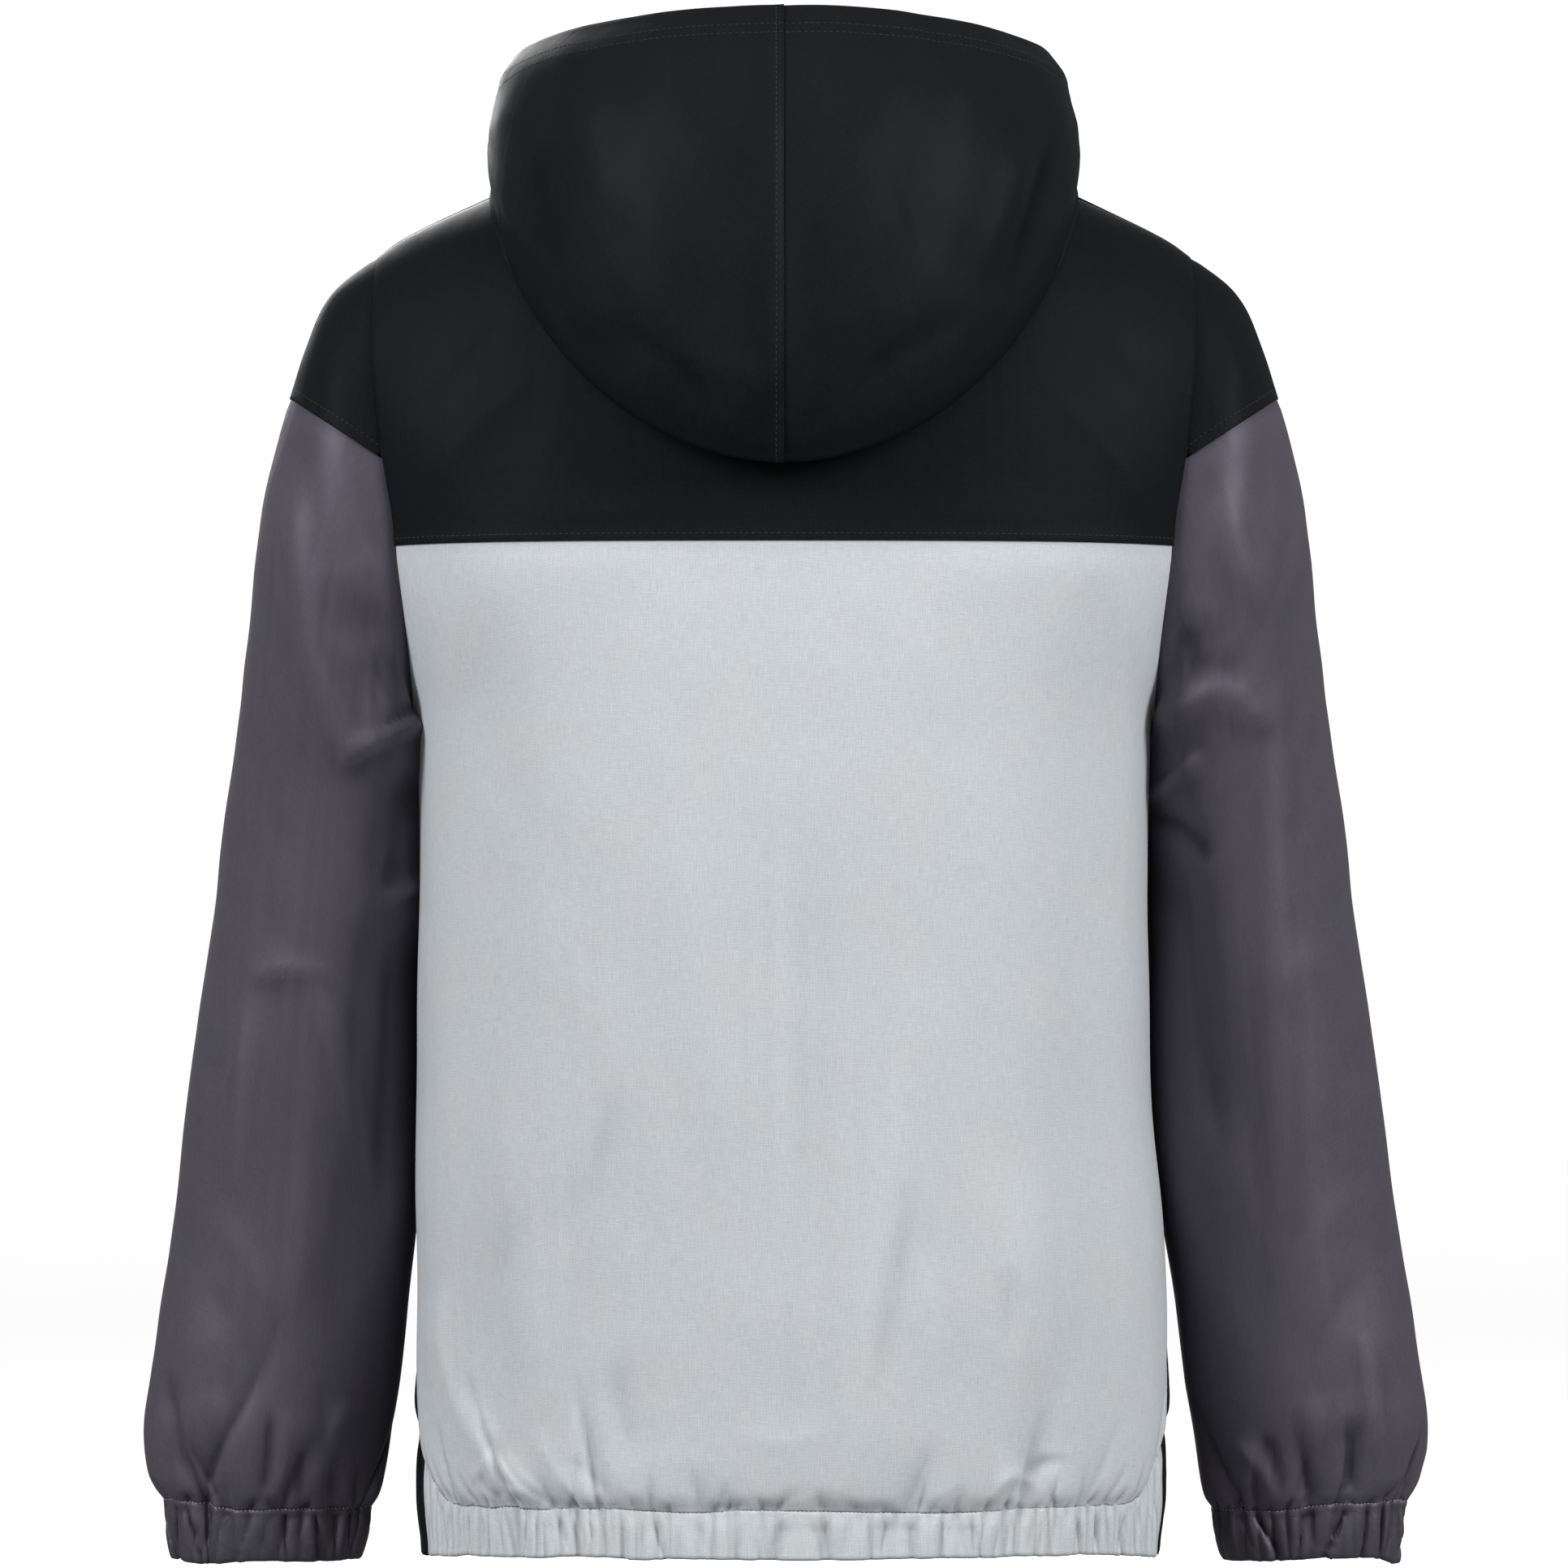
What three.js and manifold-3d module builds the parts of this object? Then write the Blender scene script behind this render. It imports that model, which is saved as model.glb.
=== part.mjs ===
// Hooded rain jacket, worn and hollow. Millimetres, +Z up, front towards -Y, wearer's left towards +X.
// The origin is the centre of the neck at the height of the high shoulder point.
// Every cloth piece is a wall between an outer skin and an inner one. The body, the arms and the hood
// are three smooth forms, and each cut piece is a patch of one of them.

import * as THREE from 'three';
import { mergeVertices } from 'three/addons/utils/BufferGeometryUtils.js';
import Module from 'manifold-3d';

// ---------------------------------------------------------------- driving sizes

const WALL = 1.5; // cloth wall
const GAP = 0.3; // between two pieces at a seam
const HALF_GAP = GAP / 2;
const HEM_Z = -728; // bottom edge of the hem casing
const HEM_SEAM_Z = -706; // seam between panels and hem casing
const HEM_RISE = { height: 27, from: 150 }; // the back seam climbs outside this half width
const UNDERARM_Z = -307;
const YOKE = { z: -211.5, dip: 1, half: 200 }; // the yoke seam dips at its two ends
const SHOULDER_TIP_Z = -60;
const NECK = { half: 90, back: 62, front: 96 }; // neckline seen from above
const ARM_DEPTH = 72; // half the front-to-back size of the armhole
const ARM_SCOOP = 9; // the front armhole is cut this much deeper
const SIDE_SWING = { left: 9, right: 5, from: -560 }; // degrees that the side seam turns back at the hem
const FRONT_EDGE = 3.5; // half the distance between the two front edges
const CUFF_SEAM = 678; // places along the arm, measured down its outer side
const CUFF_END = 706;
const HOOD_REST = 3.5; // clearance of the hood over the shoulders
const ZIP = { chain: 4.8, depth: 2.2, sunk: 0.3, tape: 10, thick: 1, behind: 1.8, boxHeight: 8 };
const SLIDER = { width: 8, length: 10, plate: 1, post: 3 };
const CROWN = { width: 2, length: 6.4, bar: 1.2, rise: 1.8 };
const PULL = { pin: 0.5, pinInset: 0.2, width: 5.2, leg: 1, legTop: 0.8, length: 25, thick: 1, reach: 4.4 };
const JOIN = 0.5; // solids that are joined into one run this far into each other

const COLOURS = {
  panel: 0xc9cdd1,
  hem: 0xc4c9cd,
  black: 0x1a1c1e,
  sleeve: 0x4e4b52,
  tape: 0x17181a,
  metal: 0x2b2c2e,
};

// ---------------------------------------------------------------- tables

const table = (columns, rows) =>
  rows.map((row) => Object.fromEntries(columns.map((name, i) => [name, row[i]])));

// Depth of the body behind and in front of its side line, and how square its section is.
const BODY = table(['z', 'back', 'front', 'power'], [
  [-728, 126, 129, 2.45],
  [-706, 128, 131, 2.45],
  [-640, 132, 138, 2.45],
  [-520, 135, 143, 2.45],
  [-400, 138, 146, 2.45],
  [-307, 139, 145, 2.4],
  [-210, 134, 134, 2.3],
  [-150, 127, 121, 2.2],
  [-100, 114, 104, 2.1],
  [-60, 97, 86, 2.0],
  [-20, 62, 58, 2.0],
  [0, 34, 34, 2.0],
]);

// Half width of the body from the hem to the underarm.
const SIDES = table(['z', 'half'], [
  [-728, 193.5],
  [-706, 195.5],
  [-647, 196.5],
  [-562, 195],
  [-498, 191.5],
  [-435, 190.5],
  [-392, 189.5],
  [-350, 190],
  [-307, 191.3],
]);

// The lower body hangs a little to one side.
const SWAY = table(['z', 'shift'], [
  [-728, -3.6],
  [-640, -4.4],
  [-580, -3.4],
  [-500, 0],
  [-307, 0],
]);

// The armhole seam seen from behind, underarm to shoulder tip.
const ARMHOLE = table(['z', 'x'], [
  [-307, 191.3],
  [-265, 194],
  [-222, 198.9],
  [-195, 202],
  [-168, 206.5],
  [-125, 212],
  [-104, 213.5],
  [-60, 212],
]);

// The shoulder line seen from behind, tip to neck.
const SHOULDER = table(['z', 'half'], [
  [-60, 212],
  [-53, 202],
  [-44.5, 186],
  [-32, 159],
  [0, 90],
]);

// Arm rings: the outermost and innermost points seen from behind, half the depth, and how far
// the ring's middle lies behind the side line.
const ARM = table(['along', 'outX', 'outZ', 'inX', 'inZ', 'depth', 'middle'], [
  [0, 212, -60, 191.3, -307, 72, 0],
  [29, 235, -78.5, 191.9, -311, 74, 0],
  [63, 250, -109, 192, -317, 76, -1],
  [93, 259, -137, 191.9, -323, 77, -3],
  [139, 270, -181, 191.5, -335, 77, -8],
  [223, 281, -265, 190.6, -362, 75, -18],
  [308, 292.7, -350, 190.2, -402, 71, -26],
  [394, 304, -435, 190.8, -455, 66, -30],
  [480, 315.8, -519, 194, -528, 58, -31],
  [544, 324.4, -583, 199.3, -583, 52, -30],
  [608, 333.4, -646.5, 206, -646.5, 47, -28],
  [637, 336.8, -673, 211, -676, 44, -27],
  [663, 334, -698, 215.6, -701, 38, -26],
  [678, 328, -713, 219.2, -716, 33, -25],
  [706, 323.5, -741, 225.5, -741, 29, -24],
]);

// Hood rings from the neck seam, down under the bag, round its fold and up to the rim: half width,
// reach behind and in front, heights at back, side and front, and how square the ring is.
const HOOD = table(['v', 'half', 'back', 'front', 'zBack', 'zSide', 'zFront', 'power', 'sag'], [
  [0.0, 90, 62, -96, -20, 0, -80, 2.0, 1.6],
  [0.12, 112, 96, -98, -50, -6, -70, 2.2, 1.4],
  [0.26, 135, 122, -99, -104, -15, -62, 2.5, 1.3],
  [0.38, 148, 141, -100, -158, -24, -55, 2.6, 1.2],
  [0.46, 152, 156, -101, -174, -25, -50, 2.6, 1.2],
  [0.56, 153, 173, -102, -158, -16, -44, 2.5, 1.2],
  [0.7, 154, 185, -103, -98, -2, -35, 2.4, 1.2],
  [0.84, 151, 178, -104, -18, 17, -25, 2.3, 1.3],
  [0.93, 146.5, 154, -104, 32, 32, -17, 2.2, 1.5],
  [1.0, 139.5, 122, -104, 59.8, 43, -11, 2.1, 1.67],
]);

// Largest soft folds: a line from one end to the other on a form, its half width and its lift
// (a ridge when positive, a trough when negative).
const BACK_FOLDS = table(['x0', 'z0', 'x1', 'z1', 'width', 'lift'], [
  [150, -430, 120, -700, 26, 3.0],
  [95, -520, 128, -705, 22, -2.5],
  [60, -300, 20, -560, 34, 2.0],
  [-20, -330, -15, -600, 30, -2.2],
  [-70, -420, -30, -700, 26, 2.4],
  [-110, -520, -150, -700, 26, 2.8],
  [-150, -600, -120, -712, 20, -2.4],
]);
const FRONT_FOLDS = table(['x0', 'z0', 'x1', 'z1', 'width', 'lift'], [
  [120, -300, 70, -620, 32, 2.4],
  [150, -480, 130, -700, 26, -2.2],
  [60, -560, 80, -708, 24, 2.2],
]);
// On an arm the two numbers of an end are its place along the arm and its angle round it.
const ARM_FOLDS = table(['a0', 'turn0', 'a1', 'turn1', 'width', 'lift'], [
  [150, 40, 430, 70, 24, 2.6],
  [240, 100, 520, 60, 24, -2.6],
  [200, -40, 470, -80, 26, 2.4],
  [520, 95, 650, 80, 18, 2.0],
  [500, -20, 655, -50, 20, -2.0],
]);
// On the hood they are the place from neck to rim, in percent, and the angle from the back seam.
const HOOD_FOLDS = table(['v0', 'turn0', 'v1', 'turn1', 'width', 'lift'], [
  [55, 62, 85, 74, 7, -3.5],
  [60, 40, 90, 52, 9, 2.5],
]);

const FOLD_FADE = { start: -0.1, full: 0.3 }; // shares of a fold's length over which it rises
const PANEL_EDGE = { from: 0.7, to: 0.95 }; // body folds die out between these places towards the side
const ARM_CLEAR = { from: 40, to: 160, turnFrom: 110, turnTo: 150 }; // arm folds start beyond the armhole

// Angles round the armhole from the shoulder tip to the underarm, where the seams end.
const STATIONS = [0, 16, 32, 49, 66, 83, 101.2, 118, 136, 157, 180];
const CAP_STATION = 5;
const YOKE_STATION = 6;
// The cap seam seen from behind: the place where it leaves the armhole, and its slope outwards.
const CAP_SEAM = { x: 206, z: -168.5, slope: 0.655 };

// ---------------------------------------------------------------- small helpers

const rad = THREE.MathUtils.degToRad;
const lerp = THREE.MathUtils.lerp;
const clamp = THREE.MathUtils.clamp;
const smooth = (value, from, to) => THREE.MathUtils.smoothstep(value, from, to);
const steps = (count) => Array.from({ length: count + 1 }, (_, i) => i / count);

/** Smooth curve through one column of a table, read anywhere along its key column. */
function curve(rows, key, column) {
  const xs = rows.map((row) => row[key]);
  const ys = rows.map((row) => row[column]);
  const last = xs.length - 1;
  const slope = xs.map((_, i) => {
    const a = Math.max(i - 1, 0);
    const b = Math.min(i + 1, last);
    return (ys[b] - ys[a]) / (xs[b] - xs[a]);
  });
  return (at) => {
    const x = clamp(at, xs[0], xs[last]);
    const i = clamp(xs.findIndex((value) => value > x) - 1, 0, last - 1);
    const k = x >= xs[last] ? last - 1 : i;
    const span = xs[k + 1] - xs[k];
    const t = (x - xs[k]) / span;
    const rise = ys[k + 1] - ys[k];
    const bend = (1 - t) * (span * slope[k] - rise) - t * (span * slope[k + 1] - rise);
    return ys[k] + rise * t + t * (1 - t) * bend;
  };
}

/** All columns of a table but its key, as one function that gives a row at any place. */
function section(rows, key) {
  const names = Object.keys(rows[0]).filter((name) => name !== key);
  const curves = names.map((name) => [name, curve(rows, key, name)]);
  return (at) => Object.fromEntries(curves.map(([name, read]) => [name, read(at)]));
}

/** The place between low and high where a function that falls from plus to minus crosses zero. */
function root(fall, low, high) {
  let [a, b] = [low, high];
  for (let i = 0; i < 40; i++) {
    const middle = (a + b) / 2;
    if (fall(middle) > 0) a = middle;
    else b = middle;
  }
  return (a + b) / 2;
}

/** Lift of the soft folds of a table at a place given by two numbers; each fades in and out along itself. */
function foldLift(folds, p, q) {
  let lift = 0;
  for (const fold of folds) {
    const [p0, q0, p1, q1, width, height] = Object.values(fold);
    const [dp, dq] = [p1 - p0, q1 - q0];
    const length = Math.hypot(dp, dq);
    const place = ((p - p0) * dp + (q - q0) * dq) / length ** 2;
    const across = ((p - p0) * dq - (q - q0) * dp) / length;
    const fade = smooth(place, FOLD_FADE.start, FOLD_FADE.full)
      * (1 - smooth(place, 1 - FOLD_FADE.full, 1 - FOLD_FADE.start));
    lift += height * fade * Math.exp(-((across / width) ** 2));
  }
  return lift;
}

const add = (p, n, distance) => p.map((value, i) => value + n[i] * distance);
const unitVector = (v) => {
  const length = Math.hypot(...v) || 1;
  return v.map((value) => value / length);
};

/** Outward normal of a form at two parameters, taken from its neighbouring points. */
function formNormal(form, a, b, stepA, stepB) {
  const [a0, a1] = [form(a - stepA, b), form(a + stepA, b)];
  const [b0, b1] = [form(a, b - stepB), form(a, b + stepB)];
  const da = a1.map((value, i) => value - a0[i]);
  const db = b1.map((value, i) => value - b0[i]);
  return unitVector([
    da[1] * db[2] - da[2] * db[1],
    da[2] * db[0] - da[0] * db[2],
    da[0] * db[1] - da[1] * db[0],
  ]);
}

/** Geometry of a closed solid from its points and triangles, turned so that it faces outwards. */
function solid(points, index) {
  const geometry = new THREE.BufferGeometry();
  geometry.setAttribute('position', new THREE.Float32BufferAttribute(points.flat(), 3));
  const [a, b, c] = [new THREE.Vector3(), new THREE.Vector3(), new THREE.Vector3()];
  let volume = 0;
  for (let i = 0; i < index.length; i += 3) {
    a.fromArray(points[index[i]]);
    b.fromArray(points[index[i + 1]]);
    c.fromArray(points[index[i + 2]]);
    volume += a.dot(b.cross(c));
  }
  geometry.setIndex(volume < 0 ? index.reverse() : index);
  geometry.computeVertexNormals();
  return geometry;
}

/** Closed wall between an outer and an inner grid; a ring joins its last column to its first. */
function wall({ outer, inner }, ring = false) {
  const rows = outer.length;
  const columns = outer[0].length;
  const at = (side, r, c) => side * rows * columns + r * columns + (c % columns);
  const index = [];
  const quad = (a, b, c, d) => index.push(a, b, c, a, c, d);
  const spans = ring ? columns : columns - 1;
  for (let c = 0; c < spans; c++) {
    for (let r = 0; r < rows - 1; r++) {
      quad(at(0, r, c), at(0, r, c + 1), at(0, r + 1, c + 1), at(0, r + 1, c));
      quad(at(1, r, c), at(1, r + 1, c), at(1, r + 1, c + 1), at(1, r, c + 1));
    }
    quad(at(0, 0, c), at(1, 0, c), at(1, 0, c + 1), at(0, 0, c + 1));
    quad(at(0, rows - 1, c), at(0, rows - 1, c + 1), at(1, rows - 1, c + 1), at(1, rows - 1, c));
  }
  for (let r = 0; !ring && r < rows - 1; r++) {
    quad(at(0, r, 0), at(0, r + 1, 0), at(1, r + 1, 0), at(1, r, 0));
    quad(at(0, r, spans), at(1, r, spans), at(1, r + 1, spans), at(0, r + 1, spans));
  }
  return solid([...outer.flat(), ...inner.flat()], index);
}

/** Two grids of skin points, from a function that gives the outer and inner point of a cell corner. */
function skins(rows, columns, pair) {
  const pairs = rows.map((row) => columns.map((column) => pair(row, column)));
  return {
    outer: pairs.map((line) => line.map((one) => one.outer)),
    inner: pairs.map((line) => line.map((one) => one.inner)),
  };
}

const mirrorPoints = (grid) => grid.map((line) => line.map(([x, y, z]) => [-x, y, z]));
const mirrored = ({ outer, inner }) => ({ outer: mirrorPoints(outer), inner: mirrorPoints(inner) });

// ---------------------------------------------------------------- body form

const BACK = 1;
const FRONT = -1;
const bodyRow = section(BODY, 'z');
const sideHalf = curve(SIDES, 'z', 'half');
const sway = curve(SWAY, 'z', 'shift');
const armholeX = curve(ARMHOLE, 'z', 'x');
const shoulderHalf = curve(SHOULDER, 'z', 'half');
const ARM_MIDDLE_Z = (SHOULDER_TIP_Z + UNDERARM_Z) / 2;
const ARM_HALF_Z = (SHOULDER_TIP_Z - UNDERARM_Z) / 2;
const ARM_SQUARE = 2.2;

/** Half the front-to-back size of the armhole at a height. */
function armholeDepth(z) {
  const level = Math.min(1, Math.abs((z - ARM_MIDDLE_Z) / ARM_HALF_Z));
  return ARM_DEPTH * (1 - level ** ARM_SQUARE) ** (1 / ARM_SQUARE);
}

/** Half width to the armhole seam at a height, behind or in front. */
function armholeHalf(side, z) {
  const level = clamp((z - ARM_MIDDLE_Z) / ARM_HALF_Z, -1, 1);
  return armholeX(z) - (side === FRONT ? ARM_SCOOP * (1 - level * level) ** 2 : 0);
}

const bodyDepth = (side, z) => (side === BACK ? bodyRow(z).back : bodyRow(z).front);

/** Half width of the whole section; beside the armhole it is that of the section carried on. */
function bodyHalf(side, z) {
  if (z <= UNDERARM_Z) return sideHalf(z);
  if (z >= SHOULDER_TIP_Z) return shoulderHalf(z);
  const { power } = bodyRow(z);
  const depth = bodyDepth(side, z);
  return armholeHalf(side, z) / (1 - (armholeDepth(z) / depth) ** power) ** (1 / power);
}

/** How far the body's skin lies behind (or in front of) the side line, at a half width and height. */
function bodyReach(side, x, z) {
  const { power } = bodyRow(z);
  const fill = Math.min(1, Math.abs(x) / bodyHalf(side, z));
  return bodyDepth(side, z) * (1 - fill ** power) ** (1 / power);
}

/** Outward normal of the body at a point on its skin. */
function bodyNormal(side, point) {
  const [, y, z] = point;
  const x = point[0] - sway(z);
  const { power } = bodyRow(z);
  const level = (height) =>
    (Math.abs(x) / bodyHalf(side, height)) ** power + (Math.abs(y) / bodyDepth(side, height)) ** power;
  const nx = Math.sign(x) * (power * Math.abs(x) ** (power - 1)) / bodyHalf(side, z) ** power;
  const ny = Math.sign(y) * (power * Math.abs(y) ** (power - 1)) / bodyDepth(side, z) ** power;
  return unitVector([nx, ny, (level(z + 0.5) - level(z - 0.5))]);
}

/** Angle of the side seam from the back centre, in degrees. */
function sideSeamAngle(hand, z) {
  const swing = hand > 0 ? SIDE_SWING.left : SIDE_SWING.right;
  return 90 - swing * smooth(-z, -SIDE_SWING.from, -HEM_Z);
}

const yokeSeam = (x) => YOKE.z - YOKE.dip * Math.min(1, Math.abs(x) / YOKE.half) ** 6;
const hemSeam = (x) => HEM_SEAM_Z + HEM_RISE.height * smooth(Math.abs(x), HEM_RISE.from, YOKE.half) ** 2;

/** Where a column stands across the shoulders: five neck columns, then five along the shoulder. */
function topShare(t) {
  const tip = shoulderHalf(SHOULDER_TIP_Z);
  const neck = NECK.half / tip;
  return t < 0.5 ? neck * Math.sin(Math.PI * t) : lerp(neck, 1, 2 * t - 1);
}

/** Height of the top edge of a column: on the neckline, or on the shoulder seam. */
function topHeight(side, t) {
  const share = topShare(t);
  if (t >= 0.5) {
    const half = share * shoulderHalf(SHOULDER_TIP_Z);
    return root((z) => shoulderHalf(z) - half, SHOULDER_TIP_Z, 0);
  }
  const neckDepth = side === BACK ? NECK.back : NECK.front;
  return root((z) => {
    const x = share * armholeHalf(side, z);
    const neckline = neckDepth * Math.sqrt(Math.max(0, 1 - (x / NECK.half) ** 2));
    return bodyReach(side, x, z) - neckline;
  }, YOKE.z, 0);
}

/** Body skin point of a column (0 at the centre, 1 at the side) at a height. */
function bodyPoint(side, hand, t, z) {
  const { power } = bodyRow(z);
  const half = bodyHalf(side, z);
  const turned = (angle) => half * Math.sin(angle) ** (2 / power);
  const edge = side === FRONT ? FRONT_EDGE : 0;
  if (z <= UNDERARM_Z) {
    const seam = sideSeamAngle(hand, z);
    const angle = rad((side === BACK ? seam : 180 - seam) * t);
    const x = Math.max(turned(angle), edge);
    const past = angle > Math.PI / 2;
    const reach = past ? -bodyReach(-side, x, z) : bodyReach(side, x, z);
    return [hand * x + sway(z), side * reach, z];
  }
  const end = armholeHalf(side, z);
  const seamAngle = Math.asin(Math.min(1, end / half) ** (power / 2));
  let share = turned(seamAngle * t) / end;
  if (z > YOKE.z) {
    const climb = smooth(z, YOKE.z, topHeight(side, t));
    share = lerp(shareAtYoke(side, t), topShare(t), climb);
  }
  const x = Math.max(share * end, edge);
  return [hand * x, side * bodyReach(side, x, z), z];
}

/** Share of the half width that a column takes at the height of the yoke seam. */
function shareAtYoke(side, t) {
  const { power } = bodyRow(YOKE.z);
  const fill = armholeHalf(side, YOKE.z) / bodyHalf(side, YOKE.z);
  return Math.sin(Math.asin(fill ** (power / 2)) * t) ** (2 / power) / fill;
}

/** Outer and inner point of the body's wall, half a gap off the side, shoulder and armhole seams. */
function bodyPair(side, hand, t, z) {
  const base = bodyPoint(side, hand, t, z);
  const normal = bodyNormal(Math.sign(base[1]) || side, base);
  const folds = side === BACK ? BACK_FOLDS : FRONT_FOLDS;
  const middle = 1 - smooth(t, PANEL_EDGE.from, PANEL_EDGE.to);
  const across = side === BACK ? base[0] : Math.abs(base[0]);
  const point = add(base, normal, middle * foldLift(folds, across, z));
  if (t === 1 && z >= UNDERARM_Z) point[0] -= hand * HALF_GAP;
  if ((t === 1 && z <= UNDERARM_Z) || Math.abs(base[1]) < GAP) point[1] += side * HALF_GAP;
  return { outer: point, inner: add(point, normal, -WALL) };
}

const stationHeight = (k) => ARM_MIDDLE_Z + ARM_HALF_Z * Math.cos(rad(STATIONS[k]));
const UPPER = STATIONS.map((_, k) => stationHeight(k)).reverse(); // underarm to shoulder tip
const LOWER = [-655, -590, -520, -450, -378];
const YOKE_ROW = STATIONS.length - 1 - YOKE_STATION;
const hemSeamAt = (side, t) => hemSeam(bodyPoint(side, 1, t, HEM_SEAM_Z)[0] - sway(HEM_SEAM_Z));
const yokeSeamAt = (t) => yokeSeam(bodyPoint(BACK, 1, t, YOKE.z)[0]);

// Columns of a piece: the hand it lies on, and its place from the centre line to the side.
const COLUMNS = 10;
const halfColumns = (hand) => steps(COLUMNS).map((t) => ({ hand, t }));
const fullColumns = [...halfColumns(-1).reverse().slice(0, COLUMNS), ...halfColumns(1)];

/** Height of a row in the upper body: a share of the way from a low level to the column's top edge. */
function upperHeight(side, t, level, low, lowLevel = low) {
  const share = (level - lowLevel) / (SHOULDER_TIP_Z - lowLevel);
  return lerp(low, topHeight(side, t), share);
}

/** The back panel, from the hem seam to the yoke seam. */
function backPanel() {
  return skins(['hem', ...LOWER, ...UPPER.slice(0, YOKE_ROW), 'yoke'], fullColumns, (row, { hand, t }) => {
    const seams = { hem: hemSeamAt(BACK, t) + HALF_GAP, yoke: yokeSeamAt(t) - HALF_GAP };
    return bodyPair(BACK, hand, t, seams[row] ?? row);
  });
}

/** The back yoke, from its seam to the neckline and the shoulder seams. */
function backYoke() {
  return skins(UPPER.slice(YOKE_ROW), fullColumns, (level, { hand, t }) =>
    bodyPair(BACK, hand, t, upperHeight(BACK, t, level, yokeSeamAt(t) + HALF_GAP, UPPER[YOKE_ROW])));
}

/** Height of a row of the fronts in a column. */
function frontHeight(row, t) {
  if (row === 'hem') return hemSeamAt(FRONT, t) + HALF_GAP;
  return row > UNDERARM_Z ? upperHeight(FRONT, t, row, UNDERARM_Z) : row;
}

const FRONT_ROWS = ['hem', ...LOWER, ...UPPER];

/** A front, from the hem seam to the neckline and the shoulder seam. */
const front = (handSign) => skins(FRONT_ROWS, halfColumns(handSign), (row, { hand, t }) =>
  bodyPair(FRONT, hand, t, frontHeight(row, t)));

/** A stretch of the hem casing. */
const hem = (side, columns) => skins(steps(2), columns, (share, { hand, t }) =>
  bodyPair(side, hand, t, lerp(HEM_Z, hemSeamAt(side, t) - HALF_GAP, share)));

// ---------------------------------------------------------------- arm form

const armRow = section(ARM, 'along');
const OUTER_SWAY = 0.25; // share of the body's sway that an arm's outer side follows
const BLEND = 160; // the armhole's own shape fades into the arm's rings over this length

/** An arm ring of one hand: the body's sway pushes its inner side, and a little of its outer side. */
function armRingRow(hand, along) {
  const row = armRow(along);
  const inX = row.inX + hand * sway(row.inZ);
  const outX = row.outX + hand * OUTER_SWAY * sway(row.outZ);
  return { ...row, inX, outX };
}

/** Point of a plain arm ring; the angle runs from the outer side, positive behind. */
function armRing(hand, along, turn) {
  const { outX, outZ, inX, inZ, depth, middle } = armRingRow(hand, along);
  const c = Math.cos(turn);
  const x = (outX + inX) / 2 + ((outX - inX) / 2) * c;
  const z = (outZ + inZ) / 2 + ((outZ - inZ) / 2) * c;
  return [x, middle + depth * Math.sin(turn), z];
}

/** Point on the armhole seam. */
function armhole(turn) {
  const side = turn < 0 ? FRONT : BACK;
  const z = ARM_MIDDLE_Z + ARM_HALF_Z * Math.cos(turn);
  return [armholeHalf(side, z), side * armholeDepth(z), z];
}

/** Point on the arm: its rings, which start exactly on the armhole seam. */
function armPoint(hand, along, turn) {
  const weight = (1 - Math.min(1, along / BLEND)) ** 2;
  const [ring, first, seam] = [armRing(hand, along, turn), armRing(hand, 0, turn), armhole(turn)];
  return ring.map((value, i) => value + weight * (seam[i] - first[i]));
}

/** Outer and inner point of the arm's wall, on the wearer's left; the other arm is turned over later. */
function armPair(hand, along, station, onArmhole = false) {
  const turn = rad(station);
  const base = armPoint(hand, along, turn);
  const { outX, outZ, inX, inZ, middle } = armRingRow(hand, along);
  const fromMiddle = [base[0] - (outX + inX) / 2, base[1] - middle, base[2] - (outZ + inZ) / 2];
  let normal = formNormal((a, b) => armPoint(hand, a, b), along, turn, 1, rad(1));
  if (normal[0] * fromMiddle[0] + normal[1] * fromMiddle[1] + normal[2] * fromMiddle[2] < 0) {
    normal = normal.map((value) => -value);
  }
  const clear = smooth(along, ARM_CLEAR.from, ARM_CLEAR.to)
    * (1 - smooth(Math.abs(station), ARM_CLEAR.turnFrom, ARM_CLEAR.turnTo));
  const point = add(base, normal, clear * foldLift(ARM_FOLDS, along, station));
  if (!onArmhole) return { outer: point, inner: add(point, normal, -WALL) };
  point[0] += HALF_GAP;
  const inward = unitVector([Math.min(0, normal[0]), normal[1], normal[2]]);
  return { outer: point, inner: add(point, inward, -WALL) };
}

const CAP_REACH = 140; // the cap seam lies nearer the armhole than this
const CAP_LEAST = 0.8; // shortest side of the cap's corners

/** Place along the arm where the cap seam crosses an angle. */
function capSeam(hand, station) {
  const frontness = smooth(-station, 0, STATIONS[CAP_STATION]);
  const offset = CAP_SEAM.x - ARM_SCOOP * frontness;
  return root((along) => {
    const [x, , z] = armPoint(hand, along, rad(station));
    return z - (CAP_SEAM.z + CAP_SEAM.slope * (x - offset));
  }, 0, CAP_REACH);
}

const BETWEEN = STATIONS.slice(1, -1);
const ROUND = [0, ...BETWEEN, 180, ...BETWEEN.map((value) => -value).reverse()];
const CAP_LIMIT = STATIONS[CAP_STATION];
const CAP_STATIONS = STATIONS.slice(1, CAP_STATION);
const CAP_END = CAP_LIMIT - 1.2; // the cap's corner is cut this short of the sleeve's
const CAP_COLUMNS = [...CAP_STATIONS, CAP_END].reverse().map((value) => -value)
  .concat(0, CAP_STATIONS, CAP_END);
const SLEEVE_ROWS = [0, 0.05, 0.12, 0.2, 0.3, 0.4, 0.5, 0.6, 0.7, 0.79, 0.87, 0.93, 0.97, 1];
const SEAM_STEP = 0.7 * GAP; // half a gap, measured down the outer side

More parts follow.
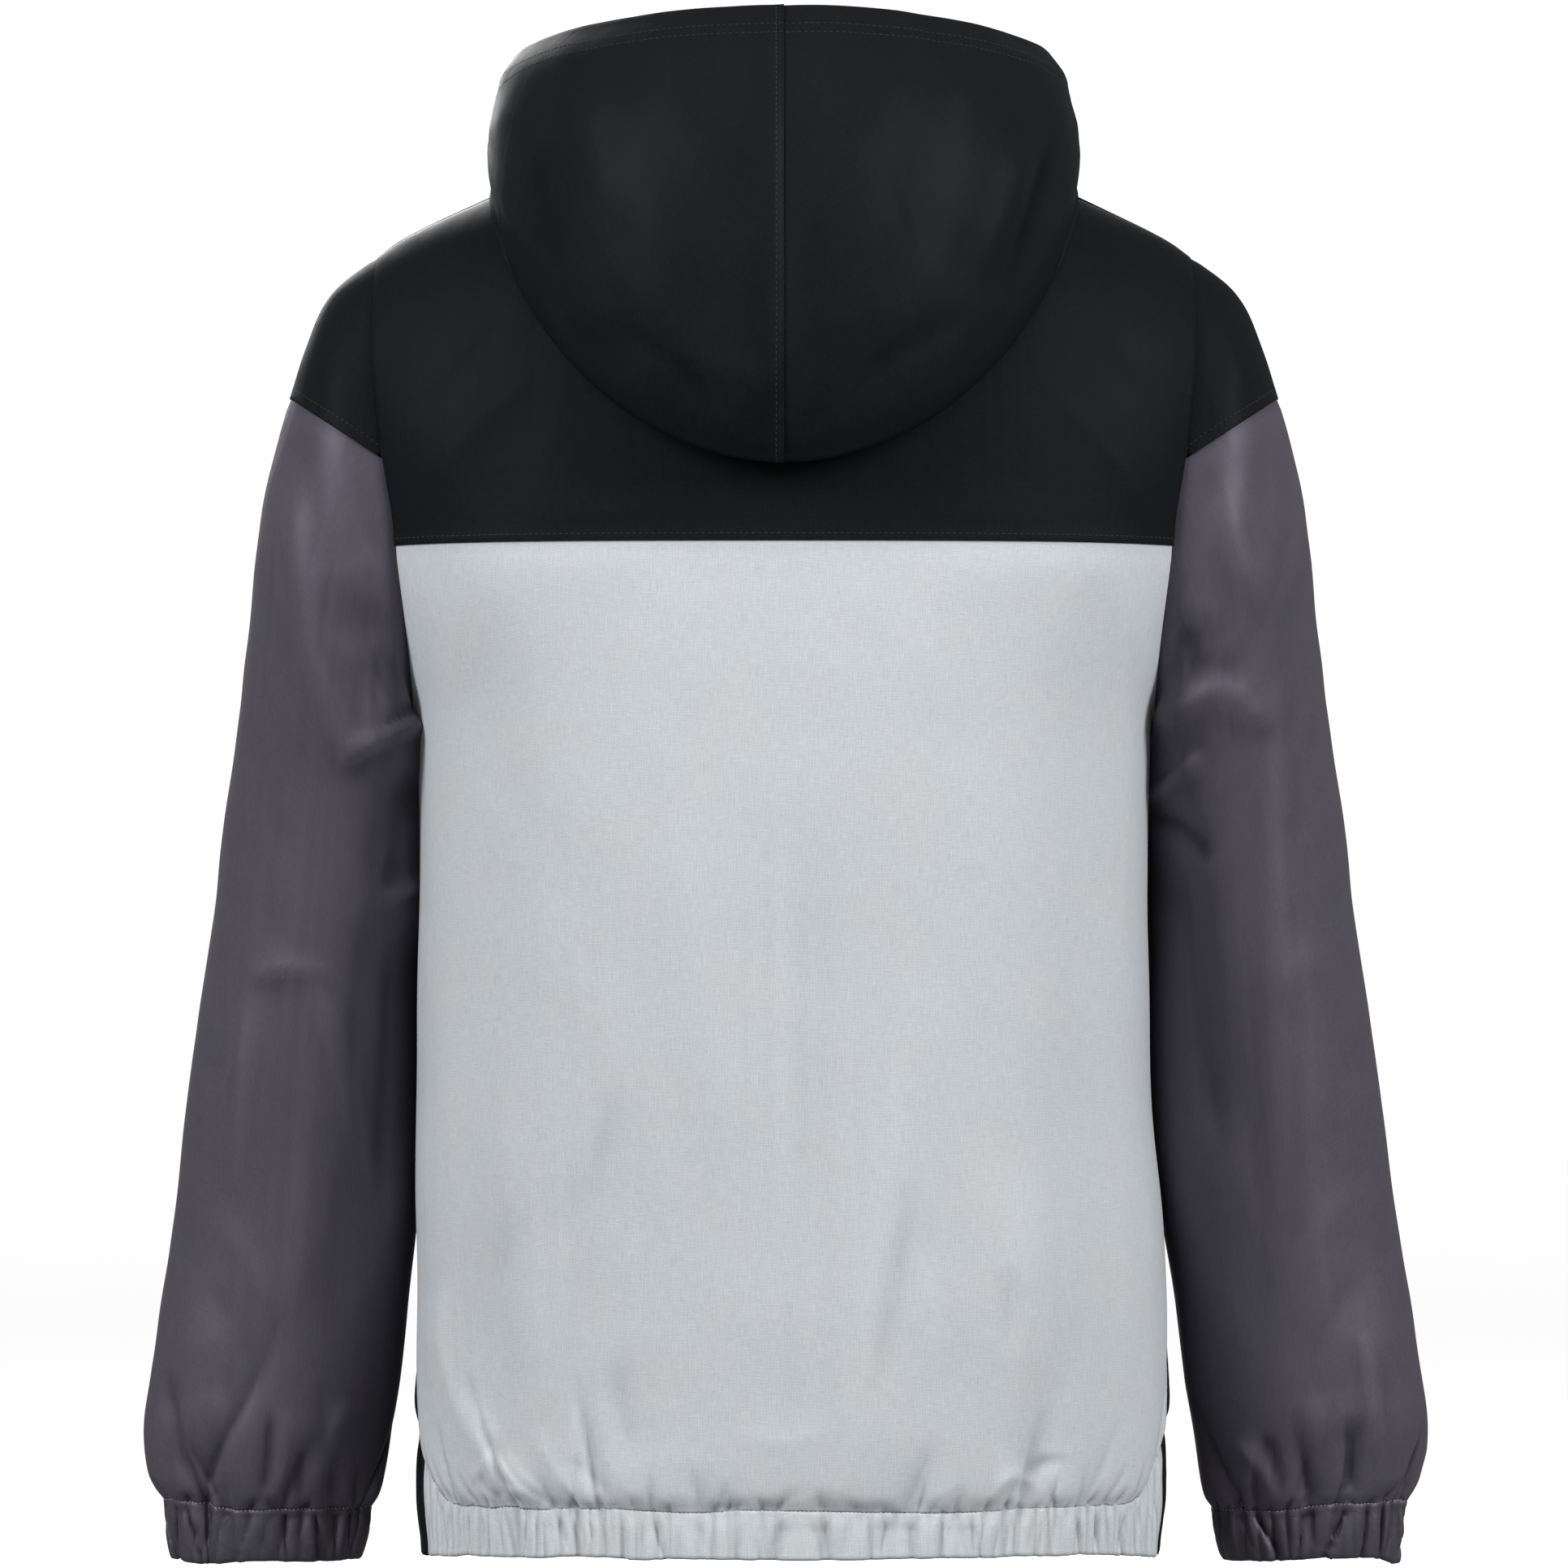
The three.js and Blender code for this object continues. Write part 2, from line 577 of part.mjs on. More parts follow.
/** The black cap over the shoulder, between the armhole and its slanting seam. */
function sleeveCap(hand) {
  return skins(steps(4), CAP_COLUMNS, (share, station) => {
    const end = Math.max(capSeam(hand, station) - SEAM_STEP, CAP_LEAST);
    return armPair(hand, end * share, station, share === 0);
  });
}

/** The sleeve, from the cap seam above and the armhole below to the cuff seam. */
function sleeve(hand) {
  return skins(SLEEVE_ROWS, ROUND, (share, station) => {
    const underCap = Math.abs(station) < CAP_LIMIT;
    const start = underCap ? capSeam(hand, station) + SEAM_STEP : 0;
    const along = lerp(start, CUFF_SEAM - HALF_GAP, share);
    return armPair(hand, along, station, !underCap && share === 0);
  });
}

/** The gathered band at the wrist. */
function cuff(hand) {
  return skins(steps(2), ROUND, (share, station) =>
    armPair(hand, lerp(CUFF_SEAM + HALF_GAP, CUFF_END, share), station));
}

// ---------------------------------------------------------------- hood form

const hoodRow = section(HOOD, 'v');
const NECK_BLEND = 0.2;
const HOOD_RISE = 0.05; // the hood is clear of the shoulders from this ring on
const UNDERSIDE_END = 0.6; // the bag's underside ends before this ring
const HOOD_SEAM = 0.8; // the hood's seam lies this far above the body's neckline
const HOOD_COLUMNS = steps(20).map((share) => 180 * share);
const HOOD_STEP = { v: 0.01, angle: 0.02 }; // for its normals, which are read this far inside its edges
const HOOD_ROWS = [0, 0.06, 0.13, 0.2, 0.28, 0.36, 0.42, 0.48, 0.56, 0.65, 0.75, 0.84, 0.92, 1];

/** Point of a plain hood ring; the angle runs from the back seam to the front edge. */
function hoodRing(v, angle) {
  const row = hoodRow(v);
  const fill = Math.max(0, Math.sin(angle)) ** (2 / row.power);
  const atFront = angle > Math.PI / 2;
  const reach = (atFront ? row.front : row.back) * Math.max(0, 1 - fill ** row.power) ** (1 / row.power);
  const end = atFront ? row.zFront : row.zBack;
  const z = row.zSide + (end - row.zSide) * Math.max(0, 1 - fill * fill) ** (row.sag / 2);
  return [row.half * fill, reach, z];
}

// The neckline as the body's pieces have it: straight between their columns.
const NECKLINE = steps(10).map((share) => {
  const side = share <= 0.5 ? BACK : FRONT;
  const t = side === BACK ? share : 1 - share;
  return bodyPoint(side, 1, t, topHeight(side, t));
});

/** Point on the neckline at an angle. */
function neckPoint(angle) {
  const place = (clamp(angle / Math.PI, 0, 1)) * (NECKLINE.length - 1);
  const k = Math.min(Math.floor(place), NECKLINE.length - 2);
  return NECKLINE[k].map((value, i) => lerp(value, NECKLINE[k + 1][i], place - k));
}

/** Moves a point out until it is clear of the shoulders. */
function restOnBody(point, clearance) {
  if (point[2] > 0) return point;
  const side = point[1] < 0 ? FRONT : BACK;
  const level = (p) => {
    const { power } = bodyRow(p[2]);
    const wide = (Math.abs(p[0]) / bodyHalf(side, p[2])) ** power;
    return (wide + (Math.abs(p[1]) / bodyDepth(side, p[2])) ** power) ** (1 / power) - 1;
  };
  const normal = bodyNormal(side, point);
  const slope = (level(add(point, normal, 1)) - level(point)) || 1;
  const distance = level(point) / slope;
  return distance < clearance ? add(point, normal, clearance - distance) : point;
}

/** Point on the hood: its rings start on the neckline and the bag rests on the shoulders. */
function hoodPoint(v, angle) {
  const weight = (1 - Math.min(1, v / NECK_BLEND)) ** 2;
  const [ring, first, seam] = [hoodRing(v, angle), hoodRing(0, angle), neckPoint(angle)];
  const point = ring.map((value, i) => value + weight * (seam[i] - first[i]));
  if (v > UNDERSIDE_END) return point;
  const clear = restOnBody(point, HOOD_REST);
  return point.map((value, i) => lerp(value, clear[i], smooth(v, 0, HOOD_RISE)));
}

/** Outer and inner point of the hood's wall. */
function hoodPair(v, station) {
  const angle = rad(station);
  const { v: stepV, angle: stepAngle } = HOOD_STEP;
  const [insideV, insideAngle] = [clamp(v, stepV, 1 - stepV), clamp(angle, stepAngle, Math.PI - stepAngle)];
  const normal = formNormal(hoodPoint, insideV, insideAngle, stepV, stepAngle);
  if (station === 0 || station === 180) normal[0] = 0;
  const outward = unitVector(normal);
  const base = hoodPoint(v, angle);
  const point = add(base, outward, foldLift(HOOD_FOLDS, v * 100, station));
  point[0] = Math.max(point[0], station > 90 ? FRONT_EDGE : HALF_GAP);
  point[2] += HOOD_SEAM;
  return { outer: point, inner: add(point, outward, -WALL) };
}

/** One half of the hood, from the centre seam to the front edge. */
const hoodHalf = () => skins(HOOD_ROWS, HOOD_COLUMNS, hoodPair);

// ---------------------------------------------------------------- zip

const ZIP_LEVELS = FRONT_ROWS.map((row) => frontHeight(row, 0)).slice(0, -1);
const ZIP_COLLAR = [0.02, 0.3, 0.5, 0.7, 0.85]; // places in the collar where the zip's strips bend
const ZIP_STEP = { body: 5, collar: 0.03 }; // least distance between a strip's end and its next bend
const ZIP_RAISE = 1; // the zip's parts start this far above the hem

/** Skin point of the front edges at a distance from the centre line, on the body. */
const frontAtHeight = (x, z) => [x + sway(z), -bodyReach(FRONT, x, z), z];

/** Skin point of the front edges at a distance from the centre line, on the hood's collar. */
function frontAtCollar(x, v) {
  const angle = Math.PI - Math.asin(clamp(Math.abs(x) / hoodRow(v).half, 0, 1));
  const [, y, z] = hoodPoint(v, angle);
  return [x, y, z];
}

/** The zip's line from a low height to a place in the collar, at a distance from the centre line. */
function zipLine(x, low, topV) {
  const levels = [low, ...ZIP_LEVELS.filter((z) => z > low + ZIP_STEP.body)];
  const collar = [...ZIP_COLLAR.filter((v) => v < topV - ZIP_STEP.collar), topV];
  return [...levels.map((z) => frontAtHeight(x, z)), ...collar.map((v) => frontAtCollar(x, v))];
}

/** A strip along the zip, between two depths under the skin. */
function zipStrip(columns, low, topV, near, far) {
  const middle = zipLine(0, low, topV);
  const outward = middle.map((_, i) => {
    const a = middle[Math.max(i - 1, 0)];
    const b = middle[Math.min(i + 1, middle.length - 1)];
    return unitVector([0, -(b[2] - a[2]), b[1] - a[1]]);
  });
  const lines = columns.map((x) => zipLine(x, low, topV));
  return skins(middle.map((_, i) => i), columns.map((_, i) => i), (row, column) => {
    const point = lines[column][row];
    return { outer: add(point, outward[row], -near), inner: add(point, outward[row], -far) };
  });
}

const TAPE_NEAR = WALL + ZIP.behind;
const TAPE_TOP = 0.97; // place in the collar where the tapes end
const TAPE_EDGE = ZIP.chain / 2 + GAP;
const zipTape = (hand) => zipStrip(
  [hand * TAPE_EDGE, hand * (TAPE_EDGE + ZIP.tape)],
  HEM_Z + ZIP_RAISE, TAPE_TOP, TAPE_NEAR, TAPE_NEAR + ZIP.thick,
);

// The slider sits just under the top of the zip. Its own frame has +Z up the zip and -Y outwards.
const SLIDER_V = 0.84;
const sliderAt = frontAtCollar(0, SLIDER_V);
const [belowSlider, aboveSlider] = [-0.1, 0.1].map((step) => frontAtCollar(0, SLIDER_V + step));
const sliderUp = Math.atan2(belowSlider[1] - aboveSlider[1], aboveSlider[2] - belowSlider[2]);
const CHAIN_TOP = root((v) => sliderAt[2] + SLIDER.length / 2 - SLIDER.post - frontAtCollar(0, v)[2],
  ZIP_COLLAR[1], 1);

const wasm = await Module();
wasm.setup();

/** Manifold solid of a geometry whose vertices are merged. */
function manifold(geometry, [x, y, z]) {
  const plain = geometry.translate(x, y, z);
  plain.deleteAttribute('normal');
  plain.deleteAttribute('uv');
  const merged = mergeVertices(plain);
  return new wasm.Manifold(new wasm.Mesh({
    numProp: 3,
    vertProperties: new Float32Array(merged.attributes.position.array),
    triVerts: new Uint32Array(merged.index.array),
  }));
}

/** Geometry of a manifold solid. */
function plainGeometry(body) {
  const mesh = body.getMesh();
  const geometry = new THREE.BufferGeometry();
  geometry.setAttribute('position', new THREE.BufferAttribute(mesh.vertProperties, 3));
  geometry.setIndex(new THREE.BufferAttribute(mesh.triVerts, 1));
  geometry.computeVertexNormals();
  return geometry;
}

/** A box from its lowest corner to its highest. */
const block = (low, high) => manifold(
  new THREE.BoxGeometry(high[0] - low[0], high[1] - low[1], high[2] - low[2]),
  low.map((value, i) => (value + high[i]) / 2),
);

const PLATE_OUT = -(GAP + SLIDER.plate); // outer face of the slider's front plate
const PIN_OUT = PLATE_OUT - CROWN.rise / 2;
const PIN_SIDES = 12;

/** Slider: a plate before and behind the chain, the post that joins them and the crown for the pull. */
function slider() {
  const [w, l] = [SLIDER.width / 2, SLIDER.length / 2];
  const behind = TAPE_NEAR + ZIP.thick + 2 * GAP;
  const plates = block([-w, PLATE_OUT, -l], [w, -GAP, l])
    .add(block([-w, behind, -l], [w, behind + SLIDER.plate, l]));
  const [postHalf, foot] = [TAPE_EDGE - GAP, l - SLIDER.post + GAP];
  const post = block([-postHalf, PLATE_OUT, foot], [postHalf, behind + JOIN, l]);
  const [c, h, top] = [CROWN.width / 2, CROWN.length / 2, PLATE_OUT - CROWN.rise];
  const crown = block([-c, top - CROWN.bar, -h], [c, PLATE_OUT + JOIN, h]);
  const eye = block([-CROWN.width, top, CROWN.bar - h], [CROWN.width, PLATE_OUT, h - CROWN.bar]);
  return plainGeometry(plates.add(post).add(crown.subtract(eye)));
}

/** Pull tab: a pin under the crown, two legs and a flat tab that hangs down. */
function pull() {
  const leg = PULL.width / 2 - PULL.leg;
  const pin = new THREE.CylinderGeometry(PULL.pin, PULL.pin, PULL.width - 2 * PULL.pinInset, PIN_SIDES);
  const half = PULL.thick / 2;
  let body = manifold(pin.rotateZ(Math.PI / 2), [0, 0, 0]);
  for (const hand of [-1, 1]) {
    const [a, b] = [hand * leg, hand * (leg + PULL.leg)].sort((p, q) => p - q);
    body = body.add(block([a, -half, -PULL.reach - JOIN], [b, half, PULL.legTop]));
  }
  const tab = block([-PULL.width / 2, -half, -PULL.length], [PULL.width / 2, half, -PULL.reach]);
  return plainGeometry(body.add(tab));
}

/** Retainer box at the foot of the zip. */
function zipBox() {
  const [x, y, z] = frontAtHeight(0, HEM_Z);
  const half = ZIP.chain / 2;
  const far = y + TAPE_NEAR + ZIP.thick;
  const foot = z + ZIP_RAISE;
  return plainGeometry(block([x - half, y + ZIP.sunk, foot], [x + half, far, foot + ZIP.boxHeight]));
}

// ---------------------------------------------------------------- the jacket

const jacket = new THREE.Group();

/** Adds one named piece with its own material. */
function piece(name, geometry, color, { roughness = 0.75, metalness = 0 } = {}) {
  const mesh = new THREE.Mesh(geometry, new THREE.MeshStandardMaterial({ color, roughness, metalness }));
  mesh.name = name;
  jacket.add(mesh);
  return mesh;
}

piece('back_panel', wall(backPanel()), COLOURS.panel);
piece('back_yoke', wall(backYoke()), COLOURS.black);
piece('hem_back', wall(hem(BACK, fullColumns)), COLOURS.hem);
for (const [name, hand] of [['left', 1], ['right', -1]]) {
  const handWall = (grids, ring = false) => wall(hand > 0 ? grids : mirrored(grids), ring);
  piece(`front_${name}`, wall(front(hand)), COLOURS.black);
  piece(`hem_front_${name}`, wall(hem(FRONT, halfColumns(hand))), COLOURS.black);
  piece(`sleeve_cap_${name}`, handWall(sleeveCap(hand)), COLOURS.black);
  piece(`sleeve_${name}`, handWall(sleeve(hand), true), COLOURS.sleeve);
  piece(`cuff_${name}`, handWall(cuff(hand), true), COLOURS.sleeve);
  piece(`hood_${name}`, handWall(hoodHalf()), COLOURS.black);
  piece(`zip_tape_${name}`, wall(zipTape(hand)), COLOURS.tape);
}
const chain = zipStrip(
  [-ZIP.chain / 2, ZIP.chain / 2],
  HEM_Z + ZIP_RAISE + ZIP.boxHeight + GAP, CHAIN_TOP, ZIP.sunk, ZIP.sunk + ZIP.depth,
);
piece('zip_chain', wall(chain), COLOURS.metal, { roughness: 0.5 });
piece('zip_box', zipBox(), COLOURS.metal, { roughness: 0.5 });
const sliderMesh = piece('zip_slider', slider(), COLOURS.metal, { roughness: 0.35, metalness: 0.9 });
const pullMesh = piece('zip_pull', pull(), COLOURS.metal, { roughness: 0.35, metalness: 0.9 });
for (const mesh of [sliderMesh, pullMesh]) {
  mesh.position.fromArray(sliderAt);
  mesh.rotation.x = sliderUp;
}
pullMesh.translateY(PIN_OUT);

export default jacket;
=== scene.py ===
"""Hooded rain jacket, worn and hollow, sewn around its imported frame.

The cloth is worked out in millimetres, as a pattern cutter writes it, and its meshes are in metres. The frame
is +Z up, the front towards -Y and the wearer's left towards +X.

The body, the arms and the hood are three smooth forms. Each cut piece is a patch of one of them: a grid that
is laid on the form, folded and gathered along its normals, and thickened into a thin shell.
"""

import logging
import math
from collections.abc import Callable, Iterable, Sequence
from dataclasses import dataclass
from enum import Enum
from functools import cached_property, partialmethod

import bmesh
import bpy
import numpy as np
from mathutils import Matrix, Vector


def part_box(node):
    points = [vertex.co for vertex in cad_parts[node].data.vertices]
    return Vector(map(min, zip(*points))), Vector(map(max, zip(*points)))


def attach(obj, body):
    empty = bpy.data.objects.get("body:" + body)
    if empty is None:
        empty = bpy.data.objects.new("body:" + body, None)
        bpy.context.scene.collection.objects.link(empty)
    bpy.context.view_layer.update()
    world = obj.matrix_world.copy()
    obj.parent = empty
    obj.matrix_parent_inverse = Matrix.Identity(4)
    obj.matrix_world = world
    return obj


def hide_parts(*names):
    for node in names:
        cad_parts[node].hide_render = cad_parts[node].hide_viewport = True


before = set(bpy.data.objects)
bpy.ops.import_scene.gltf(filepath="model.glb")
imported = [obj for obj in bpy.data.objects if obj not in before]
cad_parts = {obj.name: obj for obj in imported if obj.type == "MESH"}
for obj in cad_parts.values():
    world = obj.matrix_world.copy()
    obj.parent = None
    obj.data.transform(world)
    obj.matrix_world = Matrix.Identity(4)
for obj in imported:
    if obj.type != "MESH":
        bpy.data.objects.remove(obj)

Array = np.ndarray
Colour = tuple[float, float, float]

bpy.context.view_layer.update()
MM = 0.001
NEARLY_ZERO = 1e-9
BLACK, WHITE = (0.0, 0.0, 0.0), (1.0, 1.0, 1.0)
LOG = logging.getLogger("jacket")


# ---- names and small maths


class Side(Enum):
    """The back or the front of the body; the value is the way its skin faces along Y."""

    BACK = 1
    FRONT = -1


class Hand(Enum):
    """The wearer's left or right; the value is its way along X."""

    LEFT = 1
    RIGHT = -1

    @property
    def word(self) -> str:
        """The hand's word in a node's name."""
        return self.name.lower()


class Edge(Enum):
    """An edge of a patch, by its place in the patch's own grid."""

    BOTTOM = "bottom"
    TOP = "top"
    LEFT = "left"
    RIGHT = "right"


def smooth(value: Array, low: float | Array, high: float | Array) -> Array:
    """Smooth step from 0 at low to 1 at high."""
    t = np.clip((value - low) / (high - low), 0.0, 1.0)
    return t * t * (3 - 2 * t)


def lerp(a: float | Array, b: float | Array, t: float | Array) -> Array:
    """Straight mix of a and b."""
    return a + (b - a) * t


def unit(vectors: Array) -> Array:
    """Vectors of length one, along the last axis."""
    return vectors / np.maximum(np.linalg.norm(vectors, axis=-1, keepdims=True), 1e-12)


def crowded(share: Array, amount: float) -> Array:
    """A share from 0 to 1 that moves slowly at both ends, so that grid lines crowd there."""
    return share - amount * np.sin(2 * math.pi * share) / (2 * math.pi)


def paced(places: Array, lift: Array, count: int, bias: float = 2.5) -> Array:
    """Places for the lines of a grid, closer together where a lift is steep.

    Args:
        places: lengths along the cloth, fine and even.
        lift: height of the cloth at each of them.
        count: how many steps there are.
        bias: how much a height counts against a length.

    Returns:
        The chosen places, one more than the steps.
    """
    run = np.concatenate([[0.0], np.cumsum(np.hypot(np.diff(places), bias * np.diff(lift)))])
    return np.interp(np.linspace(0, run[-1], count + 1), run, places)


def falling_root(fall: Callable[[Array], Array], low: Array, high: Array, rounds: int = 34) -> Array:
    """Where a function that falls from plus to minus crosses zero, for many places at once.

    Args:
        fall: gives a value for each place.
        low: where the values are still positive.
        high: where the values are already negative.
        rounds: how many times the span is halved.

    Returns:
        The place of each crossing.
    """
    low, high = np.array(low, float), np.array(high, float)
    for _ in range(rounds):
        middle = (low + high) / 2
        above = fall(middle) > 0
        low, high = np.where(above, middle, low), np.where(above, high, middle)
    return (low + high) / 2


def lengths(points: Array, axis: int) -> Array:
    """Length of a grid's lines, up to each of its points."""
    steps = np.linalg.norm(np.diff(points, axis=axis), axis=-1)
    pad = [(0, 0), (0, 0)]
    pad[axis] = (1, 0)
    return np.pad(np.cumsum(steps, axis=axis), pad)


@dataclass(frozen=True)
class Profile:
    """A smooth curve through the rows of a short table."""

    keys: tuple[float, ...]
    values: tuple[float, ...]

    def __call__(self, at: float | Array) -> Array:
        """The curve's value at a key or at an array of keys.

        Args:
            at: where the curve is read; past its ends it stays level.

        Returns:
            One value for each key.
        """
        xs, ys = np.array(self.keys), np.array(self.values)
        last = len(xs) - 1
        before, after = np.maximum(np.arange(last + 1) - 1, 0), np.minimum(np.arange(last + 1) + 1, last)
        slope = (ys[after] - ys[before]) / (xs[after] - xs[before])
        x = np.clip(at, xs[0], xs[last])
        k = np.clip(np.searchsorted(xs, x, side="right") - 1, 0, last - 1)
        span, rise = xs[k + 1] - xs[k], ys[k + 1] - ys[k]
        t = (x - xs[k]) / span
        bend = (1 - t) * (span * slope[k] - rise) - t * (span * slope[k + 1] - rise)
        return ys[k] + rise * t + t * (1 - t) * bend


@dataclass(frozen=True)
class Table:
    """A table of sizes: column names, the key first, and a row for each section."""

    names: str
    rows: tuple[tuple[float, ...], ...]

    def profile(self, name: str) -> Profile:
        """One column as a smooth curve along the key column."""
        column = self.names.split().index(name)
        return Profile(tuple(row[0] for row in self.rows), tuple(row[column] for row in self.rows))


# ---- the body's form


@dataclass(frozen=True)
class BodyForm:
    """The hollow form of the worn body, from hem to neck, in millimetres."""

    hem_z: float = -728
    hem_seam_z: float = -706
    hem_rise: float = 42
    hem_rise_from: float = 171
    hem_drop: float = 8.5
    underarm_z: float = -307
    yoke_z: float = -211.5
    yoke_half: float = 200
    tip_z: float = -60
    neck_half: float = 90
    neck_back: float = 62
    neck_front: float = 96
    arm_depth: float = 72
    arm_square: float = 2.2
    arm_scoop: float = 9
    swing_left: float = 9
    swing_right: float = 5
    swing_from: float = 560
    front_edge: float = 3.5
    sections: Table = Table("z back front power", (
        (-728, 126, 129, 2.45),
        (-706, 128, 131, 2.45),
        (-640, 132, 138, 2.45),
        (-520, 135, 143, 2.45),
        (-400, 138, 146, 2.45),
        (-307, 139, 145, 2.4),
        (-210, 134, 134, 2.3),
        (-150, 127, 121, 2.2),
        (-100, 114, 104, 2.1),
        (-60, 97, 86, 2.0),
        (-20, 62, 58, 2.0),
        (0, 34, 34, 2.0),
    ))
    sides: Table = Table("z half", (
        (-728, 193.5),
        (-706, 195.5),
        (-647, 196.5),
        (-562, 195),
        (-498, 191.5),
        (-435, 190.5),
        (-392, 189.5),
        (-350, 190),
        (-307, 191.3),
    ))
    sways: Table = Table("z shift", (
        (-728, -3.6),
        (-640, -4.4),
        (-580, -3.4),
        (-500, 0),
        (-307, 0),
    ))
    armholes: Table = Table("z x", (
        (-307, 191.3),
        (-265, 194),
        (-222, 198.9),
        (-195, 202),
        (-168, 206.5),
        (-125, 212),
        (-104, 213.5),
        (-60, 212),
    ))
    shoulders: Table = Table("z half", (
        (-60, 212),
        (-53, 202),
        (-44.5, 186),
        (-32, 159),
        (0, 90),
    ))

    @property
    def arm_middle_z(self) -> float:
        """Height of the armhole's middle."""
        return (self.tip_z + self.underarm_z) / 2

    @property
    def arm_half_z(self) -> float:
        """Half the armhole's height."""
        return (self.tip_z - self.underarm_z) / 2

    def power(self, z: Array) -> Array:
        """How square the section is at a height."""
        return self.sections.profile("power")(z)

    def depth(self, side: Side, z: Array) -> Array:
        """Depth of the section behind or in front of the side line."""
        return self.sections.profile("back" if side is Side.BACK else "front")(z)

    def sway(self, z: Array) -> Array:
        """How far the body hangs to one side at a height."""
        return self.sways.profile("shift")(z)

    def armhole_depth(self, z: Array) -> Array:
        """Half the front-to-back size of the armhole at a height."""
        level = np.clip(np.abs((z - self.arm_middle_z) / self.arm_half_z), 0, 1)
        return self.arm_depth * (1 - level ** self.arm_square) ** (1 / self.arm_square)

    def armhole_half(self, side: Side, z: Array) -> Array:
        """Half width to the armhole seam; the front one is scooped out."""
        level = np.clip((z - self.arm_middle_z) / self.arm_half_z, -1, 1)
        scoop = self.arm_scoop * (1 - level * level) ** 2 if side is Side.FRONT else 0.0
        return self.armholes.profile("x")(z) - scoop

    def half(self, side: Side, z: Array) -> Array:
        """Half width of the whole section; beside the armhole it is that of the section carried on.

        Args:
            side: back or front.
            z: heights.

        Returns:
            One half width for each height.
        """
        power = self.power(z)
        hidden = (self.armhole_depth(z) / self.depth(side, z)) ** power
        beside = self.armhole_half(side, z) / (1 - hidden) ** (1 / power)
        low, high = self.sides.profile("half")(z), self.shoulders.profile("half")(z)
        return np.where(z <= self.underarm_z, low, np.where(z >= self.tip_z, high, beside))

    def reach(self, side: Side, x: Array, z: Array) -> Array:
        """How far the skin lies behind or in front of the side line."""
        power = self.power(z)
        fill = np.minimum(1.0, np.abs(x) / self.half(side, z))
        return self.depth(side, z) * (1 - fill ** power) ** (1 / power)

    def yoke_seam(self, x: Array) -> Array:
        """Height of the yoke seam, which dips at its two ends."""
        return self.yoke_z - np.minimum(1.0, np.abs(x) / self.yoke_half) ** 6

    def hem_edge(self, x: Array) -> Array:
        """Height of the hem's bottom edge, which hangs lower at the sides."""
        return self.hem_z - self.hem_drop * np.minimum(1.0, np.abs(x) / self.yoke_half) ** 8

    def hem_seam(self, x: Array) -> Array:
        """Height of the casing's seam, which climbs towards the side seams."""
        return self.hem_seam_z + self.hem_rise * smooth(np.abs(x), self.hem_rise_from, self.yoke_half) ** 2

    def side_angle(self, hand: Array, z: Array) -> Array:
        """Angle of the side seam from the back centre, in degrees."""
        swing = np.where(hand > 0, self.swing_left, self.swing_right)
        return 90 - swing * smooth(-z, self.swing_from, -self.hem_z)

    def top_share(self, t: Array) -> Array:
        """Where a column ends across the shoulders, as a share of the way to the tip."""
        neck = self.neck_half / self.shoulders.profile("half")(self.tip_z)
        return np.where(t < 0.5, neck * np.sin(math.pi * np.minimum(t, 0.5)), lerp(neck, 1, 2 * t - 1))

    def top_height(self, side: Side, t: Array) -> Array:
        """Height of the top edge of a column: on the neckline, or on the shoulder seam.

        Args:
            side: back or front.
            t: the column's place, from 0 at the middle to 1 at the side.

        Returns:
            One height for each column.
        """
        t = np.asarray(t, float)
        share = self.top_share(t)
        shoulder, armhole = self.shoulders.profile("half"), self.armholes.profile("x")
        depth = self.neck_back if side is Side.BACK else self.neck_front
        on_ridge = falling_root(
            lambda z: shoulder(z) - share * shoulder(self.tip_z),
            np.full_like(t, self.tip_z), np.zeros_like(t),
        )

        def past_neckline(z: Array) -> Array:
            """How far a height's place is outside the neckline."""
            x = share * armhole(z)
            return self.reach(side, x, z) - depth * np.sqrt(np.maximum(0, 1 - (x / self.neck_half) ** 2))

        on_neck = falling_root(past_neckline, np.full_like(t, self.yoke_z), np.zeros_like(t))
        return np.where(t >= 0.5, on_ridge, on_neck)

    def share_at_yoke(self, side: Side, t: Array) -> Array:
        """Share of the half width that a column takes at the height of the yoke seam."""
        power = self.power(self.yoke_z)
        fill = self.armhole_half(side, self.yoke_z) / self.half(side, self.yoke_z)
        return np.sin(np.arcsin(fill ** (power / 2)) * t) ** (2 / power) / fill

